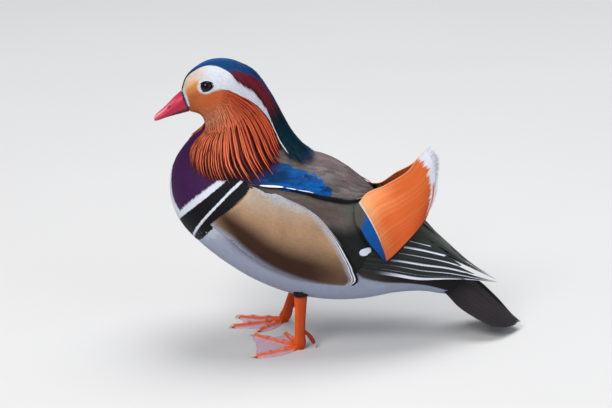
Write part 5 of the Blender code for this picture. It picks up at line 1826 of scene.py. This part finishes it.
def foot_rim(toes):
    """Spokes of a foot in degrees and their lengths, through toes, webs and heel."""
    spokes, reach = [], []
    for (angle, length), following in zip(toes, toes[1:] + [None]):
        width = math.degrees(math.atan2(TOE_RADIUS * 0.8, length))
        spokes += [angle - width, angle, angle + width]
        reach += [length - 1.2, length, length - 1.2]
        for share in (0.25, 0.5, 0.75) if following else ():
            spokes.append(angle + share * (following[0] - angle))
            straight = 1 / ((1 - share) / length + share / following[1])
            reach.append(straight * (WEB_DIP + 0.1 * abs(2 * share - 1)))
    middle = (spokes[0] + spokes[-1]) / 2 + 180
    open_angle = 360 - (spokes[-1] - spokes[0])
    heel = np.array([-0.8, -0.5, -0.2, 0.2, 0.5, 0.8])
    spokes = np.concatenate([spokes, middle + heel * open_angle / 2, [spokes[0] + 360]])
    return spokes, np.concatenate([reach, np.full(len(heel), HEEL_RADIUS), reach[:1]])


def make_foot(side, c, finish):
    """Toes and webs as a height over a fan of fine spokes round the ankle, flat below.

    Each toe is a round back that swells at its joints, and the web between is thin and rippled.
    """
    x, y = ANKLES[side]
    toes = sorted(TOES[side])
    spokes, reach = foot_rim(toes)
    fine = [np.linspace(first, last, 14, endpoint=False) for first, last in zip(spokes, spokes[1:])]
    fine = np.concatenate(fine + [spokes[-1:]])
    turn = np.radians(fine)[:, None]
    share = np.linspace(0.02, 1, 60)[None]
    distance = np.interp(fine, spokes, reach)[:, None] * share
    height = WEB_THICK + 0.2 * np.sin(turn * 40) * smooth(share, 0.3, 0.8)
    toe_mask = knuckle = np.zeros(distance.shape)
    for angle, length in toes:
        away = turn - math.radians(angle)
        off, ahead = np.abs(distance * np.sin(away)), distance * np.cos(away)
        joints = np.cos(ahead / length * math.tau * 3)
        swell = 1 + 0.14 * joints * smooth(ahead / length, 0.15, 0.3)
        radius = TOE_RADIUS * (1 - TOE_TAPER * ahead / length) * swell
        end = unit((length - ahead) / 3.0) ** 0.5
        ridge = 1.5 * np.sqrt(np.maximum(radius**2 - off**2, 0)) * end
        ridge = ridge - 0.2 * np.abs(np.sin(ahead * 1.9)) ** 0.5 * (ridge > 1)
        on_toe = (ahead > 0) & (ahead <= length + 0.01)
        height = np.maximum(height, ridge * on_toe)
        toe_mask = np.maximum(toe_mask, smooth(radius - off, -0.2, 0.7) * on_toe)
        knuckle = np.maximum(knuckle, smooth(radius - off, 0, 1) * smooth(joints, 0.6, 1.0) * on_toe)
    height = np.maximum(height, HEEL_DOME * np.maximum(1 - (distance / (HEEL_RADIUS * 1.5)) ** 2, 0))
    height[:, -1] = 0.0
    px, py = -distance * np.cos(turn), distance * np.sin(turn)
    top = stacked(x + px, y + py, height)
    top[:, 0] = (x, y, 4.4)
    base = top[:, ::-1] * np.array([1, 1, 0])
    points = np.concatenate([top, base[:, 1:]], 1)
    tint = over(c.web, c.leg, 0.35 * smooth(20 - distance, 0, 14))
    tint = over(tint, c.leg, np.maximum(toe_mask, smooth(9.0 - distance, 0, 3.0)))
    # The nail colour on the toes' tops is a painted highlight.
    tint = over(tint, c.nail, 0.55 * smooth(height, 2.2, 4.2) * toe_mask * smooth(distance, 8, 16))
    tint = over(tint, c.leg_dark, knuckle * 0.45)
    # The sole is darkened as painted shade.
    tint = np.concatenate([tint, tint[:, ::-1][:, 1:] * 0.8], 1)
    across = np.concatenate([0.25 - px / FOOT_MAP[0], (0.75 - px / FOOT_MAP[0])[:, ::-1][:, 1:]], 1)
    along = np.concatenate([0.5 + py / FOOT_MAP[1], (0.5 + py / FOOT_MAP[1])[:, ::-1][:, 1:]], 1)
    bake = np.clip(stacked(across, along), 0.002, 0.998)
    shell(f"webbed_foot_{side}", points, tint, finish, "leg_skin", f"foot_{side}", bake=bake)


def make_claws(side, c, finish, skin):
    """Curved claws ahead of the toes, and the short hind toe with its claw."""
    x, y = ANKLES[side]
    share = np.linspace(0, 1, 14)
    for number, (degrees, length) in enumerate(TOES[side], 2):
        angle = math.radians(degrees)
        ahead = np.array([-math.cos(angle), math.sin(angle), 0.0])
        line = (x, y, 0.0) + ahead * (length - CLAW_ROOT + (CLAW_LONG + CLAW_ROOT) * share[:, None])
        line[:, 2] = 2.3 - 1.9 * share**2
        radii = CLAW_RADIUS * (1 - 0.88 * share**1.4)
        node = f"claw_{side}_{number}"
        make_horn(f"toe_{node}", line, radii, c.nail, finish, "claw", node)
    for name, rows, tint, look, slot, node in (
        (f"hallux_{side}", (HALLUX_ROOT, *HALLUX), c.leg_dark, skin, "leg_skin", f"hind_toe_{side}"),
        (f"toe_claw_{side}_1", HALLUX_CLAW, c.nail, finish, "claw", f"claw_{side}_1"),
    ):
        back, height, radii = smooth_rows(rows, np.linspace(0, len(rows) - 1, 24)).T
        line = stacked(x + back + TARSUS_LEAN[side] * height, y, height)
        make_horn(name, line, radii, tint, look, slot, node)


def make_horn(name, line, radii, tint, finish, slot, node):
    """Rings of given radii across a line of places, closed at both ends and kept over the floor."""
    ahead = np.gradient(line, axis=0)
    ahead /= np.linalg.norm(ahead, axis=1, keepdims=True)
    across = np.cross(ahead, [0, 0, 1.0])
    across /= np.linalg.norm(across, axis=1, keepdims=True)
    ring = aimed(across[:, None], np.cross(across, ahead)[:, None], np.linspace(0, math.tau, 25))
    points = line[:, None] + radii[:, None, None] * ring
    points[..., 2] = np.maximum(points[..., 2], 0.05)
    points = closed(points)
    shell(name, points, np.broadcast_to(tint, points.shape), finish, slot, node)


class DRAKE_OT_legs(bpy.types.Operator):
    """Make the shanks, webbed feet, hind toes and claws"""

    bl_idname = "drake.legs"
    bl_label = "Legs and feet"

    def execute(self, context):
        c = palette()
        skin = horn_finish("leg_skin", 0.35, roughness=0.45, specular_ior_level=0.22)
        horn = horn_finish("claw", 0.3, roughness=0.4)
        for side in SIDES:
            make_leg(side, c, skin)
            make_thigh(side, c)
            make_foot(side, c, skin)
            make_claws(side, c, horn, skin)
        return {"FINISHED"}


# Stage

CAMERA_AZIMUTH = -4.0
CAMERA_HEIGHT_ANGLE = 20.0
CAMERA_AWAY = 2.4
SCALE_IN_PHOTO = 1180.0  # pixels for a metre at the duck
PHOTO_WIDTH = 612
AIM = (0.011, 0.0, 0.1195)  # in the stance
SENSOR = 36
SKY = (0.84, 0.87, 0.93, 1)
SKY_STRENGTH = 0.38
LAMPS = (  # name, place, size, power, warmth
    ("key", (-1.2, -1.5, 2.1), 1.3, 46, (1.0, 0.97, 0.94)),
    ("fill", (1.9, -1.6, 1.3), 2.0, 16, (0.92, 0.96, 1.0)),
    ("top", (0.3, 0.5, 2.4), 1.8, 44, (1.0, 1.0, 1.0)),
)


def make_stage(floor_side):
    """Floor, lamps and sky, and the camera, which looks at AIM from CAMERA_AWAY, turned and raised."""
    scene = bpy.context.scene
    mesh = bpy.data.meshes.new("floor")
    half = floor_side / 2
    corners = [(-half, -half, 0), (half, -half, 0), (half, half, 0), (-half, half, 0)]
    mesh.from_pydata(corners, [], [(0, 1, 2, 3)])
    shader = Shader("floor", roughness=0.7)
    colour = shader.mix(shader.noise(3.0), (0.60, 0.60, 0.60, 1), (0.64, 0.64, 0.64))
    mesh.materials.append(shader.finish(base_color=colour))
    floor = bpy.data.objects.new("floor", mesh)
    scene.collection.objects.link(floor)
    for name, place, size, power, warmth in LAMPS:
        lamp = bpy.data.lights.new(name, "AREA")
        lamp.shape = "DISK"
        lamp.size = size
        lamp.energy = power
        lamp.color = warmth
        made = bpy.data.objects.new(name, lamp)
        made.location = place
        made.rotation_euler = (-made.location).to_track_quat("-Z", "Y").to_euler()
        scene.collection.objects.link(made)
    scene.world = bpy.data.worlds.new("studio")
    scene.world.use_nodes = True
    sky = scene.world.node_tree.nodes["Background"].inputs
    sky["Color"].default_value = SKY
    sky["Strength"].default_value = SKY_STRENGTH
    azimuth, rise = math.radians(CAMERA_AZIMUTH), math.radians(CAMERA_HEIGHT_ANGLE)
    right = np.array([math.cos(azimuth), math.sin(azimuth), 0])
    up = np.array([-math.sin(azimuth) * math.sin(rise), math.cos(azimuth) * math.sin(rise), math.cos(rise)])
    back = np.cross(right, up)
    place = np.array(AIM) + np.array([SHIFT, 0, 0]) + back * CAMERA_AWAY
    lens = bpy.data.cameras.new("camera")
    lens.sensor_width = SENSOR
    lens.lens = SENSOR * CAMERA_AWAY / (PHOTO_WIDTH / SCALE_IN_PHOTO)
    scene.camera = bpy.data.objects.new("camera", lens)
    scene.collection.objects.link(scene.camera)
    scene.camera.matrix_world = Matrix([*np.column_stack([right, up, back, place]).tolist(), [0, 0, 0, 1]])
    scene.view_settings.view_transform = "Standard"


class DRAKE_OT_stage(bpy.types.Operator):
    """Make the floor, the lamps and the camera"""

    bl_idname = "drake.stage"
    bl_label = "Stage"

    def execute(self, context):
        make_stage(context.scene.drake_sizes.floor)
        return {"FINISHED"}


STEPS = (
    DRAKE_OT_stage, DRAKE_OT_skin, DRAKE_OT_small_feathers, DRAKE_OT_head_plumes, DRAKE_OT_body_feathers,
    DRAKE_OT_large_quills, DRAKE_OT_face, DRAKE_OT_legs,
)


class DRAKE_PT_panel(bpy.types.Panel):
    bl_idname = "DRAKE_PT_panel"
    bl_label = "Drake"
    bl_space_type = "VIEW_3D"
    bl_region_type = "UI"
    bl_category = "Drake"

    def draw(self, context):
        for step in STEPS:
            self.layout.operator(step.bl_idname)
        for group in (context.scene.drake_sizes, context.scene.drake_colours):
            box = self.layout.box()
            for name in group.__annotations__:
                box.prop(group, name)


CLASSES = (DrakeColours, DrakeSizes, *STEPS, DRAKE_PT_panel)


def register():
    for kind in CLASSES:
        bpy.utils.register_class(kind)
    bpy.types.Scene.drake_colours = bpy.props.PointerProperty(type=DrakeColours)
    bpy.types.Scene.drake_sizes = bpy.props.PointerProperty(type=DrakeSizes)


def unregister():
    del bpy.types.Scene.drake_sizes
    del bpy.types.Scene.drake_colours
    for kind in reversed(CLASSES):
        bpy.utils.unregister_class(kind)


def main():
    register()
    for step in STEPS:
        getattr(bpy.ops.drake, step.bl_idname.split(".")[1])()


if __name__ == "__main__":
    main()
